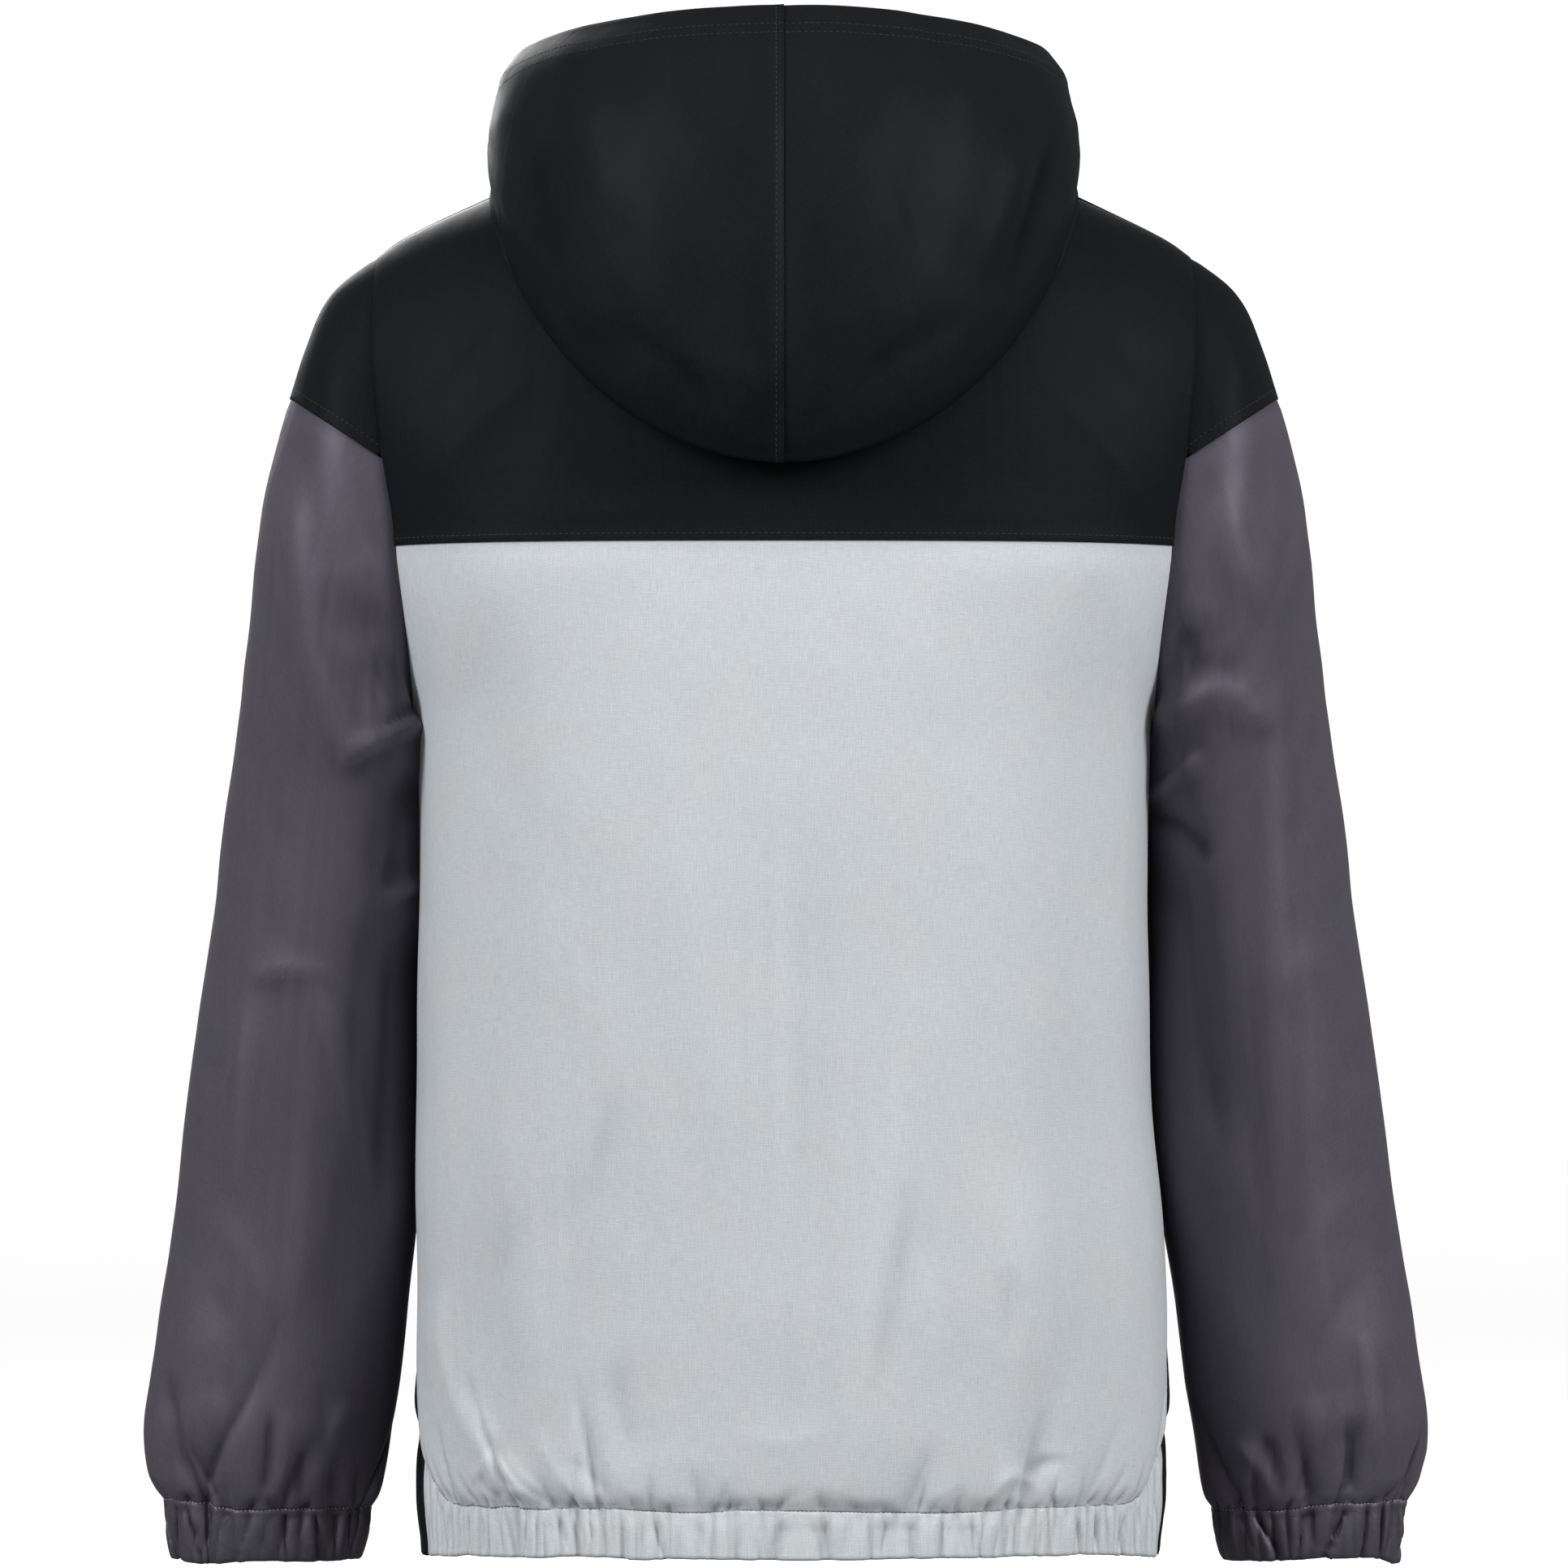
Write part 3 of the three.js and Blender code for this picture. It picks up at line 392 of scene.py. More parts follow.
    def point(self, side: Side, s: Array, z: Array) -> Array:
        """Points of the skin.

        Args:
            side: the back or the front.
            s: column, from -1 at the right side over 0 at the centre to 1 at the left side.
            z: height.

        Returns:
            The points, along a new last axis.
        """
        s, z = np.broadcast_arrays(np.asarray(s, float), np.asarray(z, float))
        t, hand = np.abs(s), np.where(s < 0, -1.0, 1.0)
        power, half = self.power(z), self.half(side, z)
        edge = self.front_edge if side is Side.FRONT else 0.0
        other = Side.FRONT if side is Side.BACK else Side.BACK
        seam = self.side_angle(hand, z)
        angle = np.radians(seam if side is Side.BACK else 180 - seam) * t
        x_low = edge + (half - edge) * np.sin(angle) ** (2 / power)
        y_low = np.where(angle > math.pi / 2, -self.reach(other, x_low, z), self.reach(side, x_low, z))
        end = self.armhole_half(side, z)
        seam_angle = np.arcsin(np.minimum(1, end / half) ** (power / 2))
        share = half * np.sin(seam_angle * t) ** (2 / power) / end
        climb = smooth(z, self.yoke_z, np.maximum(self.top_height(side, t), self.yoke_z + 1))
        above = lerp(self.share_at_yoke(side, t), self.top_share(t), climb)
        x_high = edge + np.where(z > self.yoke_z, above, share) * (end - edge)
        low = z <= self.underarm_z
        x = np.where(low, x_low, x_high)
        y = np.where(low, y_low, self.reach(side, x_high, z))
        return np.stack([hand * x + self.sway(z), side.value * y, z], axis=-1)


# ---- the arms' form


@dataclass(frozen=True)
class ArmForm:
    """An arm's form as a run of slanted rings that starts on the armhole seam, in millimetres."""

    body: BodyForm
    hand: Hand
    cuff_seam: float = 678
    cuff_end: float = 706
    outer_sway: float = 0.25
    blend: float = 160
    cap_x: float = 206
    cap_z: float = -168.5
    cap_slope: float = 0.655
    cap_limit: float = 83
    cap_reach: float = 140
    rings: Table = Table("along outX outZ inX inZ depth middle", (
        (0, 212, -60, 191.3, -307, 72, 0),
        (29, 235, -78.5, 191.9, -311, 74, 0),
        (63, 250, -109, 192, -317, 76, -1),
        (93, 259, -137, 191.9, -323, 77, -3),
        (139, 270, -181, 191.5, -335, 77, -8),
        (223, 281, -265, 190.6, -362, 75, -18),
        (308, 292.7, -350, 190.2, -402, 71, -26),
        (394, 304, -435, 190.8, -455, 66, -30),
        (480, 315.8, -519, 194, -528, 58, -31),
        (544, 324.4, -583, 199.3, -583, 52, -30),
        (608, 333.4, -646.5, 206, -646.5, 47, -28),
        (637, 336.8, -673, 211, -676, 44, -27),
        (663, 334, -698, 215.6, -701, 38, -26),
        (678, 328, -713, 219.2, -716, 33, -25),
        (706, 323.5, -741, 225.5, -741, 29, -24),
    ))

    def ring(self, along: Array, turn: Array) -> Array:
        """Point of a plain ring; the turn is in radians from the outer side, positive behind.

        Args:
            along: place along the arm.
            turn: angle round it.

        Returns:
            The points, with x, y and z last.
        """
        read = {name: self.rings.profile(name)(along) for name in self.rings.names.split()[1:]}
        inner = read["inX"] + self.hand.value * self.body.sway(read["inZ"])
        outer = read["outX"] + self.hand.value * self.outer_sway * self.body.sway(read["outZ"])
        x = (outer + inner) / 2 + (outer - inner) / 2 * np.cos(turn)
        z = (read["outZ"] + read["inZ"]) / 2 + (read["outZ"] - read["inZ"]) / 2 * np.cos(turn)
        return np.stack([x, read["middle"] + read["depth"] * np.sin(turn), z], axis=-1)

    def armhole(self, turn: Array) -> Array:
        """Point on the armhole seam."""
        body = self.body
        z = body.arm_middle_z + body.arm_half_z * np.cos(turn)
        x = np.where(turn < 0, body.armhole_half(Side.FRONT, z), body.armhole_half(Side.BACK, z))
        return np.stack([x, np.where(turn < 0, -1, 1) * body.armhole_depth(z), z], axis=-1)

    def left_point(self, along: Array, turn: Array) -> Array:
        """Points of the arm as if it were the left one; the turn is in radians."""
        along, turn = np.broadcast_arrays(np.asarray(along, float), np.asarray(turn, float))
        weight = (1 - np.clip(along / self.blend, 0, 1))[..., None] ** 2
        start = self.armhole(turn) - self.ring(np.zeros_like(along), turn)
        return self.ring(along, turn) + weight * start

    def point(self, along: Array, turn: Array) -> Array:
        """Points of this arm."""
        return self.left_point(along, turn) * (self.hand.value, 1, 1)

    def cap_seam(self, turn: Array) -> Array:
        """Place along the arm where the cap seam crosses an angle; 0 where there is no cap.

        Args:
            turn: angle round the arm.

        Returns:
            One place for each angle.
        """
        degrees = np.degrees(turn)
        offset = self.cap_x - self.body.arm_scoop * smooth(-degrees, 0, self.cap_limit)

        def above(along: Array) -> Array:
            """How far a place of the arm is above the cap's seam."""
            point = self.left_point(along, turn)
            return point[..., 2] - (self.cap_z + self.cap_slope * (point[..., 0] - offset))

        found = falling_root(above, np.zeros_like(turn), np.full_like(turn, self.cap_reach))
        return np.where(np.abs(degrees) < self.cap_limit, found, 0.0)


# ---- the hood's form


@dataclass(frozen=True)
class HoodForm:
    """The hood as it lies down: collar, bag and rim, as rings from the neckline, in millimetres."""

    body: BodyForm
    rest: float = 3.5
    blend: float = 0.2
    rise: float = 0.05
    underside_end: float = 0.6
    seam_lift: float = 0.8
    rings: Table = Table("v half back front zBack zSide zFront power sag", (
        (0.0, 90, 62, -96, -20, 0, -80, 2.0, 1.6),
        (0.12, 112, 96, -98, -50, -6, -70, 2.2, 1.4),
        (0.26, 135, 122, -99, -104, -15, -62, 2.5, 1.3),
        (0.38, 148, 141, -100, -158, -24, -55, 2.6, 1.2),
        (0.46, 152, 156, -101, -174, -25, -50, 2.6, 1.2),
        (0.56, 153, 173, -102, -158, -16, -44, 2.5, 1.2),
        (0.7, 154, 185, -103, -98, -2, -35, 2.4, 1.2),
        (0.84, 151, 178, -104, -18, 17, -25, 2.3, 1.3),
        (0.93, 146.5, 154, -104, 32, 32, -17, 2.2, 1.5),
        (1.0, 139.5, 122, -104, 59.8, 43, -11, 2.1, 1.67),
    ))

    @cached_property
    def neckline(self) -> Array:
        """The body's neckline on the wearer's left, from the back centre to the front centre."""
        share = np.linspace(0, 1, 61)
        back, front = share[share <= 0.5], 1 - share[share > 0.5]
        body = self.body
        return np.concatenate([
            body.point(Side.BACK, back, body.top_height(Side.BACK, back)),
            body.point(Side.FRONT, front, body.top_height(Side.FRONT, front)),
        ])

    def neck_point(self, angle: Array) -> Array:
        """Point on the neckline at an angle from the back."""
        place = np.clip(angle / math.pi, 0, 1) * (len(self.neckline) - 1)
        k = np.minimum(place.astype(int), len(self.neckline) - 2)
        return lerp(self.neckline[k], self.neckline[k + 1], (place - k)[..., None])

    def ring(self, v: Array, angle: Array) -> Array:
        """Point of a plain ring; the angle runs from the back seam to the front edge.

        Args:
            v: place up the hood, from 0 at the neck to 1 at its rim.
            angle: place round it, in radians.

        Returns:
            The points, with x, y and z last.
        """
        read = {name: self.rings.profile(name)(v) for name in self.rings.names.split()[1:]}
        power, sag = read["power"], read["sag"]
        fill = np.maximum(0, np.sin(angle)) ** (2 / power)
        in_front = angle > math.pi / 2
        bulge = np.maximum(0, 1 - fill ** power) ** (1 / power)
        reach = np.where(in_front, read["front"], read["back"]) * bulge
        end = np.where(in_front, read["zFront"], read["zBack"])
        z = read["zSide"] + (end - read["zSide"]) * np.maximum(0, 1 - fill * fill) ** (sag / 2)
        return np.stack([read["half"] * fill, reach, z], axis=-1)

    def level(self, point: Array) -> Array:
        """How far outside the shoulders a point is, as a share of their section.

        Args:
            point: the points, with x, y and z last.

        Returns:
            One share for each point; it is negative inside.
        """
        x, y, z = np.moveaxis(point, -1, 0)
        z = np.minimum(z, -0.5)
        power = self.body.power(z)
        half = np.where(y < 0, self.body.half(Side.FRONT, z), self.body.half(Side.BACK, z))
        depth = np.where(y < 0, self.body.depth(Side.FRONT, z), self.body.depth(Side.BACK, z))
        return ((np.abs(x) / half) ** power + (np.abs(y) / depth) ** power) ** (1 / power) - 1

    def rested(self, point: Array) -> Array:
        """Points moved out until they are clear of the shoulders.

        Args:
            point: the points, with x, y and z last.

        Returns:
            The points where they come to rest.
        """
        steps = np.eye(3) * 0.5
        slope = np.stack([self.level(point + step) - self.level(point - step) for step in steps], axis=-1)
        steepness = np.maximum(np.linalg.norm(slope, axis=-1), 1e-6)
        distance = self.level(point) / steepness
        push = np.where(point[..., 2] > 0, 0.0, np.maximum(0, self.rest - distance))
        return point + unit(slope) * push[..., None]

    def point(self, v: Array, angle: Array) -> Array:
        """Points of the hood's left half; its bag rests on the shoulders.

        Args:
            v: place up the hood.
            angle: place round it, in radians.

        Returns:
            The points, with x, y and z last.
        """
        v, angle = np.broadcast_arrays(np.asarray(v, float), np.asarray(angle, float))
        weight = (1 - np.clip(v / self.blend, 0, 1))[..., None] ** 2
        start = self.neck_point(angle) - self.ring(np.zeros_like(v), angle)
        point = self.ring(v, angle) + weight * start
        share = smooth(v, 0, self.rise) * (v <= self.underside_end)
        point = lerp(point, self.rested(point), share[..., None])
        return point + (0, 0, self.seam_lift)


# ---- what bends the cloth


@dataclass(frozen=True)
class Crease:
    """A soft fold: a ridge where its lift is positive, a trough where it is negative.

    Attributes:
        start: its one end, as the x and z of the frame in millimetres.
        end: its other end.
        width: half width at its middle.
        lift: height at its middle.
        bow: how far its line bends to one side.
        lean: how much gentler its one side is than the other, from -1 to 1.
        rise: share of its length over which it comes up.
        soft: how round its fold line is, as a share of its width.
        flare: how much wider its end is than its middle, as a share.
        side: the side of the garment that it lies on.
    """

    start: tuple[float, float]
    end: tuple[float, float]
    width: float
    lift: float
    bow: float = 0.0
    lean: float = 0.0
    rise: float = 0.4
    soft: float = 0.3
    flare: float = 0.0
    side: Side = Side.BACK

    def field(self, x: Array, z: Array) -> Array:
        """Lift of the fold at places of the frame.

        Args:
            x: of the places.
            z: of the places.

        Returns:
            One lift for each place.
        """
        (x0, z0), (x1, z1) = self.start, self.end
        dx, dz = x1 - x0, z1 - z0
        length = math.hypot(dx, dz)
        place = ((x - x0) * dx + (z - z0) * dz) / length ** 2
        held = np.clip(place, 0, 1)
        aside = ((x - x0) * dz - (z - z0) * dx) / length - 4 * self.bow * held * (1 - held)
        width = self.width * (1 + self.flare * (2 * held - 1)) * (1 + self.lean * np.tanh(aside / self.width))
        fade = smooth(place, -0.06, self.rise) * (1 - smooth(place, 1 - self.rise, 1.06))
        round_top = self.soft * self.width
        fall = (np.hypot(aside, round_top) - round_top) / width
        return self.lift * fade * np.exp(-1.3 * fall)


def folds(*rows: tuple[float, ...], side: Side = Side.BACK) -> tuple[Crease, ...]:
    """The creases of a table whose columns are x0 z0 x1 z1 width lift bow lean rise soft flare.

    Args:
        rows: a row for each fold, without its last columns where they are as usual.
        side: the side of the garment that they lie on.

    Returns:
        The creases.
    """
    return tuple(Crease(row[:2], row[2:4], *row[4:], side=side) for row in rows)


@dataclass(frozen=True)
class Crumple:
    """Gentle uneven dents all over a cloth.

    Attributes:
        seed: which dents they are.
        size: mean distance between them, across the cloth.
        lift: their greatest height.
        stretch: how many times longer they are along the cloth than across it.
        slant: how far they lean across for each length along.
        fold: from 0 for rounded dents to 1 for flats that meet in fold lines.
        cells: how many dents there are each way before they come again.
    """

    seed: int
    size: float
    lift: float
    stretch: float = 1.0
    slant: float = 0.0
    fold: float = 0.0
    cells: int = 64

    def field(self, across: Array, along: Array) -> Array:
        """Lift of the dents at two lengths of the cloth, in millimetres.

        Args:
            across: length across the cloth.
            along: length up the cloth.

        Returns:
            One lift for each place.
        """
        knots = np.random.default_rng(self.seed).uniform(-1, 1, (self.cells, self.cells))
        u = (across + self.slant * along) / self.size + self.cells / 2
        v = along / (self.size * self.stretch) + self.cells / 2
        i, j = np.floor(u).astype(int), np.floor(v).astype(int)
        fu, fv = smooth(u - i, 0, 1), smooth(v - j, 0, 1)
        i0, i1, j0, j1 = i % self.cells, (i + 1) % self.cells, j % self.cells, (j + 1) % self.cells
        low = lerp(knots[i0, j0], knots[i1, j0], fu)
        high = lerp(knots[i0, j1], knots[i1, j1], fu)
        dent = lerp(low, high, fv)
        return self.lift * lerp(dent, 1 - 2.2 * np.hypot(dent, 0.06), self.fold)


def dents(crumples: Iterable[Crumple], across: Array, along: Array) -> Array:
    """Lift of some crumples together, at two lengths of the cloth."""
    return sum(crumple.field(across, along) for crumple in crumples)


@dataclass(frozen=True)
class Gathers:
    """Pleats that elastic draws the cloth into: tucks, steep on one side, that arc away from the seam.

    Attributes:
        seed: which pleats they are.
        pitch: mean distance between them along the seam.
        depth: how deep they sink on the whole.
        reach: how far they run from the seam.
        lean: how far they wander to one side for each length away from the seam.
        fan: how far those at the ends of the seam run outwards for each length away from it.
        open_out: how much wider they are where they end, as a share; below nothing they narrow to a point.
        narrow: reach of a tuck's gentle side, as a share of the pitch.
        steep: reach of its steep side, as a share of that of the gentle one.
        pinned: share of their depth that is left on the seam itself.
        period: length of the seam where it is closed into a ring, or 0.
        soft: how round the bottom of a tuck is, in millimetres.
    """

    seed: int
    pitch: float
    depth: float
    reach: float
    lean: float = 0.1
    open_out: float = 1.2
    narrow: float = 0.34
    steep: float = 0.4
    pinned: float = 0.6
    period: float = 0.0
    fan: float = 0.0
    soft: float = 0.6

    def field(self, along: Array, away: Array) -> Array:
        """Lift of the pleats.

        Args:
            along: lengths along the seam.
            away: distances from the seam, negative on its other side.

        Returns:
            The lift at each place.
        """
        chance = np.random.default_rng(self.seed)
        low = -self.period / 2 if self.period else along.min()
        span = self.period or np.ptp(along)
        count = max(1, round(span / self.pitch))
        outside = np.maximum(away, 0.0)
        total = np.zeros_like(along)
        for k in range(count):
            jitter, depth, reach, lean, wide, arc, turn = chance.uniform(-1, 1, 7)
            centre = low + (k + 0.5 + 0.45 * jitter) * span / count
            far = outside / (self.reach * (1 + 0.6 * reach))
            spread_out = self.fan * (2 * centre / span if self.period else (2 * (centre - low) / span - 1))
            drift = spread_out + self.lean * (lean + 0.5 * arc * np.minimum(far, 1))
            aside = along - centre - drift * outside
            if self.period:
                aside = (aside + span / 2) % span - span / 2
            width = self.narrow * self.pitch * (1 + 0.35 * wide) * (1 + self.open_out * np.minimum(far, 1))
            width = np.where(aside * turn > 0, width * self.steep, width)
            tuck = np.exp((self.soft - np.hypot(aside, self.soft)) / width)
            fade = lerp(self.pinned, 1.0, smooth(far, 0, 0.2)) * (1 - smooth(far, 0.15, 1))
            total -= self.depth * (1 + 0.7 * depth) * fade * tuck
        return total


@dataclass(frozen=True)
class Blouse:
    """The puff of cloth that hangs over a gathered seam."""

    puff: float
    height: float
    nip: float = 1.0

    def field(self, away: Array) -> Array:
        """Lift at a distance from the seam."""
        rise = np.maximum(away, 0) / self.height
        return self.puff * rise * np.exp(1 - rise) - self.nip * np.exp(-(away / (0.35 * self.height)) ** 2)


# ---- cloth


class Cloth:
    """A cut piece of cloth as a grid of skin points in millimetres: rows go up, columns go across."""

    POINT, NORMAL, SEAM, LIFT, HOLLOW = slice(0, 3), slice(3, 6), 6, 7, 8

    def __init__(self, skin: Array, core: Array, ring: bool = False) -> None:
        """Lays the grid down.

        Args:
            skin: rows x columns x 3 points on a form.
            core: points inside the garment, which tell which side of the skin is its face.
            ring: whether the last column lies on the first.
        """
        self.ring = ring
        normal = self.normals_of(skin, ring)
        if np.sum(normal * (skin - core)) < 0:
            normal = -normal
        notes = np.broadcast_to((1e3, 0.0, 0.0), skin.shape)
        self.grid = np.concatenate([skin, normal, notes], axis=-1)

    @staticmethod
    def normals_of(points: Array, ring: bool) -> Array:
        """Unit normals of a grid of points."""
        wide = np.concatenate([points[:, -2:-1], points, points[:, 1:2]], axis=1) if ring else points
        du, dv = np.gradient(wide, axis=1), np.gradient(wide, axis=0)
        normal = unit(np.cross(du, dv))
        return normal[:, 1:-1] if ring else normal

    @property
    def points(self) -> Array:
        """The grid's points."""
        return self.grid[..., self.POINT]

    @property
    def normal(self) -> Array:
        """The unit normals on the cloth's face."""
        return self.grid[..., self.NORMAL]

    @property
    def x(self) -> Array:
        """The points' x."""
        return self.grid[..., 0]

    @property
    def z(self) -> Array:
        """The points' z."""
        return self.grid[..., 2]

    def raised(self, lift: Array) -> "Cloth":
        """Moves the points out along their normals."""
        self.grid[..., self.POINT] += self.normal * np.broadcast_to(lift, self.x.shape)[..., None]
        self.grid[..., self.LIFT] += lift
        return self

    def creased(self, creases: Iterable[Crease], share: Array | float = 1.0) -> "Cloth":
        """Adds folds, each on its own side of the garment.

        Args:
            creases: the folds.
            share: how much of each fold shows.

        Returns:
            The cloth itself.
        """
        x, z, facing = self.x.copy(), self.z.copy(), self.normal[..., 1]
        lift = np.zeros_like(x)
        for crease in creases:
            lift += crease.field(x, z) * smooth(crease.side.value * facing, -0.25, 0.3)
        return self.raised(lift * share)

    def near(self, edge: Edge) -> Array:
        """Distance of each point from an edge, along the grid's lines.

        Args:
            edge: the edge.

        Returns:
            One distance for each point.
        """
        axis = 0 if edge in (Edge.BOTTOM, Edge.TOP) else 1
        run = lengths(self.points, axis)
        if edge in (Edge.BOTTOM, Edge.LEFT):
            return run
        return np.take(run, [-1], axis=axis) - run

    def sewn(self, *edges: Edge) -> "Cloth":
        """Notes each point's distance from the nearest of some seams."""
        nearest = np.min([self.near(edge) for edge in edges], axis=0)
        self.grid[..., self.SEAM] = np.minimum(self.grid[..., self.SEAM], nearest)
        return self

    def refaced(self, rounds: int = 5) -> "Cloth":
        """Reads the normals again from the folded points, and how deep each lies below those around it.

        Args:
            rounds: how far the cloth around a point reaches, in rounds of smoothing.

        Returns:
            The cloth itself.
        """
        fresh = self.normals_of(self.points, self.ring)
        if np.sum(fresh * self.normal) < 0:
            fresh = -fresh
        self.grid[..., self.NORMAL] = fresh
        lift = even = self.grid[..., self.LIFT]
        for _ in range(rounds):
            tall = np.concatenate([even[:1], even, even[-1:]])
            even = (tall[:-2] + 2 * even + tall[2:]) / 4
            sides = (even[:, -2:-1], even[:, 1:2]) if self.ring else (even[:, :1], even[:, -1:])
            wide = np.concatenate([sides[0], even, sides[1]], axis=1)
            even = (wide[:, :-2] + 2 * even + wide[:, 2:]) / 4
        self.grid[..., self.HOLLOW] = even - lift
        return self

    def line(self, edge: Edge, distance: float) -> tuple[Array, Array]:
        """Points and normals along an edge, a distance inside it.

        Args:
            edge: the edge.
            distance: how far inside it the line runs.

        Returns:
            The line's points and its unit normals.
        """
        run, grid = self._rows(self.near(edge), edge)[::-1], self._rows(self.grid, edge)[::-1]
        k = np.clip((run < distance).sum(axis=0), 1, len(run) - 1)
        columns = np.arange(run.shape[1])
        low, high = run[k - 1, columns], run[k, columns]
        share = np.clip((distance - low) / np.maximum(high - low, NEARLY_ZERO), 0, 1)[:, None]
        found = lerp(grid[k - 1, columns], grid[k, columns], share)
        return found[:, self.POINT], unit(found[:, self.NORMAL])

    @staticmethod
    def _rows(values: Array, edge: Edge) -> Array:
        """Values of the grid, turned so that an edge is their last row."""
        rows = values if edge in (Edge.BOTTOM, Edge.TOP) else values.swapaxes(0, 1)
        return rows[::-1] if edge in (Edge.BOTTOM, Edge.LEFT) else rows

    def _grown(self, rows: list[Array], edge: Edge) -> "Cloth":
        """Adds rows past an edge."""
        grid = np.concatenate([self._rows(self.grid, edge), rows])
        grid = grid[::-1] if edge in (Edge.BOTTOM, Edge.LEFT) else grid
        self.grid = grid if edge in (Edge.BOTTOM, Edge.TOP) else grid.swapaxes(0, 1)
        return self

    def tucked(self, edge: Edge, length: float, sink: float, rise: float = 0.0) -> "Cloth":
        """Runs the cloth on past an edge and under its neighbour.

        Args:
            edge: where the seam is.
            length: how far the cloth goes on.
            sink: how deep it lies.
            rise: how far its end comes up again, against the neighbour.

        Returns:
            The cloth itself.
        """
        grid = self._rows(self.grid, edge)
        away = unit(grid[-1, :, self.POINT] - grid[-2, :, self.POINT])
        rows = []
        for share in (0.35, 1.0):
            row = grid[-1].copy()
            depth = sink * math.sqrt(share) - rise * share ** 3
            row[:, self.POINT] += away * length * share - row[:, self.NORMAL] * depth
            rows.append(row)
        return self._grown(rows, edge)

    def turned(self, edge: Edge, depth: float, gap: float, steps: int = 3) -> "Cloth":
        """Folds the cloth inside at an edge, as a hem or a casing.

        Args:
            edge: the edge that becomes the fold.
            depth: how far the inner ply reaches back.
            gap: distance between the two plies.
            steps: rows on the fold.

        Returns:
            The cloth itself.
        """
        grid = self._rows(self.grid, edge)
        count = int((np.median(self._rows(self.near(edge), edge), axis=1) < depth).sum())
        radius = gap / 2
        away = unit(grid[-1, :, self.POINT] - grid[-2, :, self.POINT])
        rows = []
        for step in range(1, steps + 1):
            angle = math.pi * step / (steps + 1)
            row = grid[-1].copy()
            outward, inward = radius * math.sin(angle), radius * (1 - math.cos(angle))
            row[:, self.POINT] += away * outward - grid[-1, :, self.NORMAL] * inward
            rows.append(row)
        for k in range(1, count + 1):
            row = grid[-k].copy()
            row[:, self.POINT] -= row[:, self.NORMAL] * gap
            rows.append(row)
        return self._grown(rows, edge)

    def _facing_out(self) -> Array:
        """The grid, turned over if its faces would look inwards."""
        points = self.points
        facing = np.cross(np.gradient(points, axis=1), np.gradient(points, axis=0))
        middle = slice(len(points) // 3, len(points) // 3 + 4)
        inwards = np.sum(facing[middle] * self.normal[middle]) < 0
        return self.grid[:, ::-1] if inwards else self.grid

    def build(self, name: str, thickness: float) -> bpy.types.Object:
        """Makes the mesh, with its two cloth maps, and thickens it inwards.

        Args:
            name: the piece's name.
            thickness: of the cloth, in millimetres.

        Returns:
            The new object.
        """
        grid = self._facing_out()
        rows, columns = grid.shape[:2]
        across, along = lengths(grid[..., self.POINT], 1), lengths(grid[..., self.POINT], 0)
        across -= across[:, columns // 2][:, None]
        bm = bmesh.new()
        bmesh.ops.create_grid(bm, x_segments=columns - 1, y_segments=rows - 1, size=0.5)
        mesh = bpy.data.meshes.new(name)
        bm.to_mesh(mesh)
        bm.free()
        flat = np.empty(len(mesh.vertices) * 3)
        mesh.vertices.foreach_get("co", flat)
        column = np.rint((flat[0::3] + 0.5) * (columns - 1)).astype(int)
        row = np.rint((flat[1::3] + 0.5) * (rows - 1)).astype(int)
        mesh.vertices.foreach_set("co", (grid[row, column, self.POINT] * MM).astype(np.float32).ravel())
        corner = np.empty(len(mesh.loops), np.int32)
        mesh.loops.foreach_get("vertex_index", corner)
        place = np.stack([across[row, column], along[row, column]], axis=-1)[corner] * MM
        mesh.uv_layers.new(name="fabric").data.foreach_set("uv", place.astype(np.float32).ravel())
        for note, part in (("seam", self.SEAM), ("hollow", self.HOLLOW)):
            values = mesh.attributes.new(note, "FLOAT", "POINT").data
            values.foreach_set("value", grid[row, column, part].astype(np.float32))
        if self.ring:
            self._close(mesh, np.flatnonzero((column == 0) | (column == columns - 1)))
        mesh.update()
        made = shown(mesh)
        wall = made.modifiers.new("cloth", "SOLIDIFY")
        wall.thickness, wall.offset, wall.use_even_offset = thickness * MM, -1.0, False
        return made

    @staticmethod
    def _close(mesh: bpy.types.Mesh, ends: Array) -> None:
        """Joins the first and the last column of a ring."""
        bm = bmesh.new()
        bm.from_mesh(mesh)
        bm.verts.ensure_lookup_table()
        bmesh.ops.remove_doubles(bm, verts=[bm.verts[k] for k in ends], dist=0.02 * MM)
        bm.to_mesh(mesh)
        bm.free()


def shown(mesh: bpy.types.Mesh) -> bpy.types.Object:
    """A smooth-shaded object for a mesh, in the scene, with the mesh's name."""
    mesh.polygons.foreach_set("use_smooth", [True] * len(mesh.polygons))
    made = bpy.data.objects.new(mesh.name, mesh)
    bpy.context.scene.collection.objects.link(made)
    return made


def joined(name: str, bm: bmesh.types.BMesh) -> bpy.types.Object:
    """An object for a finished bmesh, which is freed."""
    mesh = bpy.data.meshes.new(name)
    bm.to_mesh(mesh)
    bm.free()
    return shown(mesh)


# ---- finishes


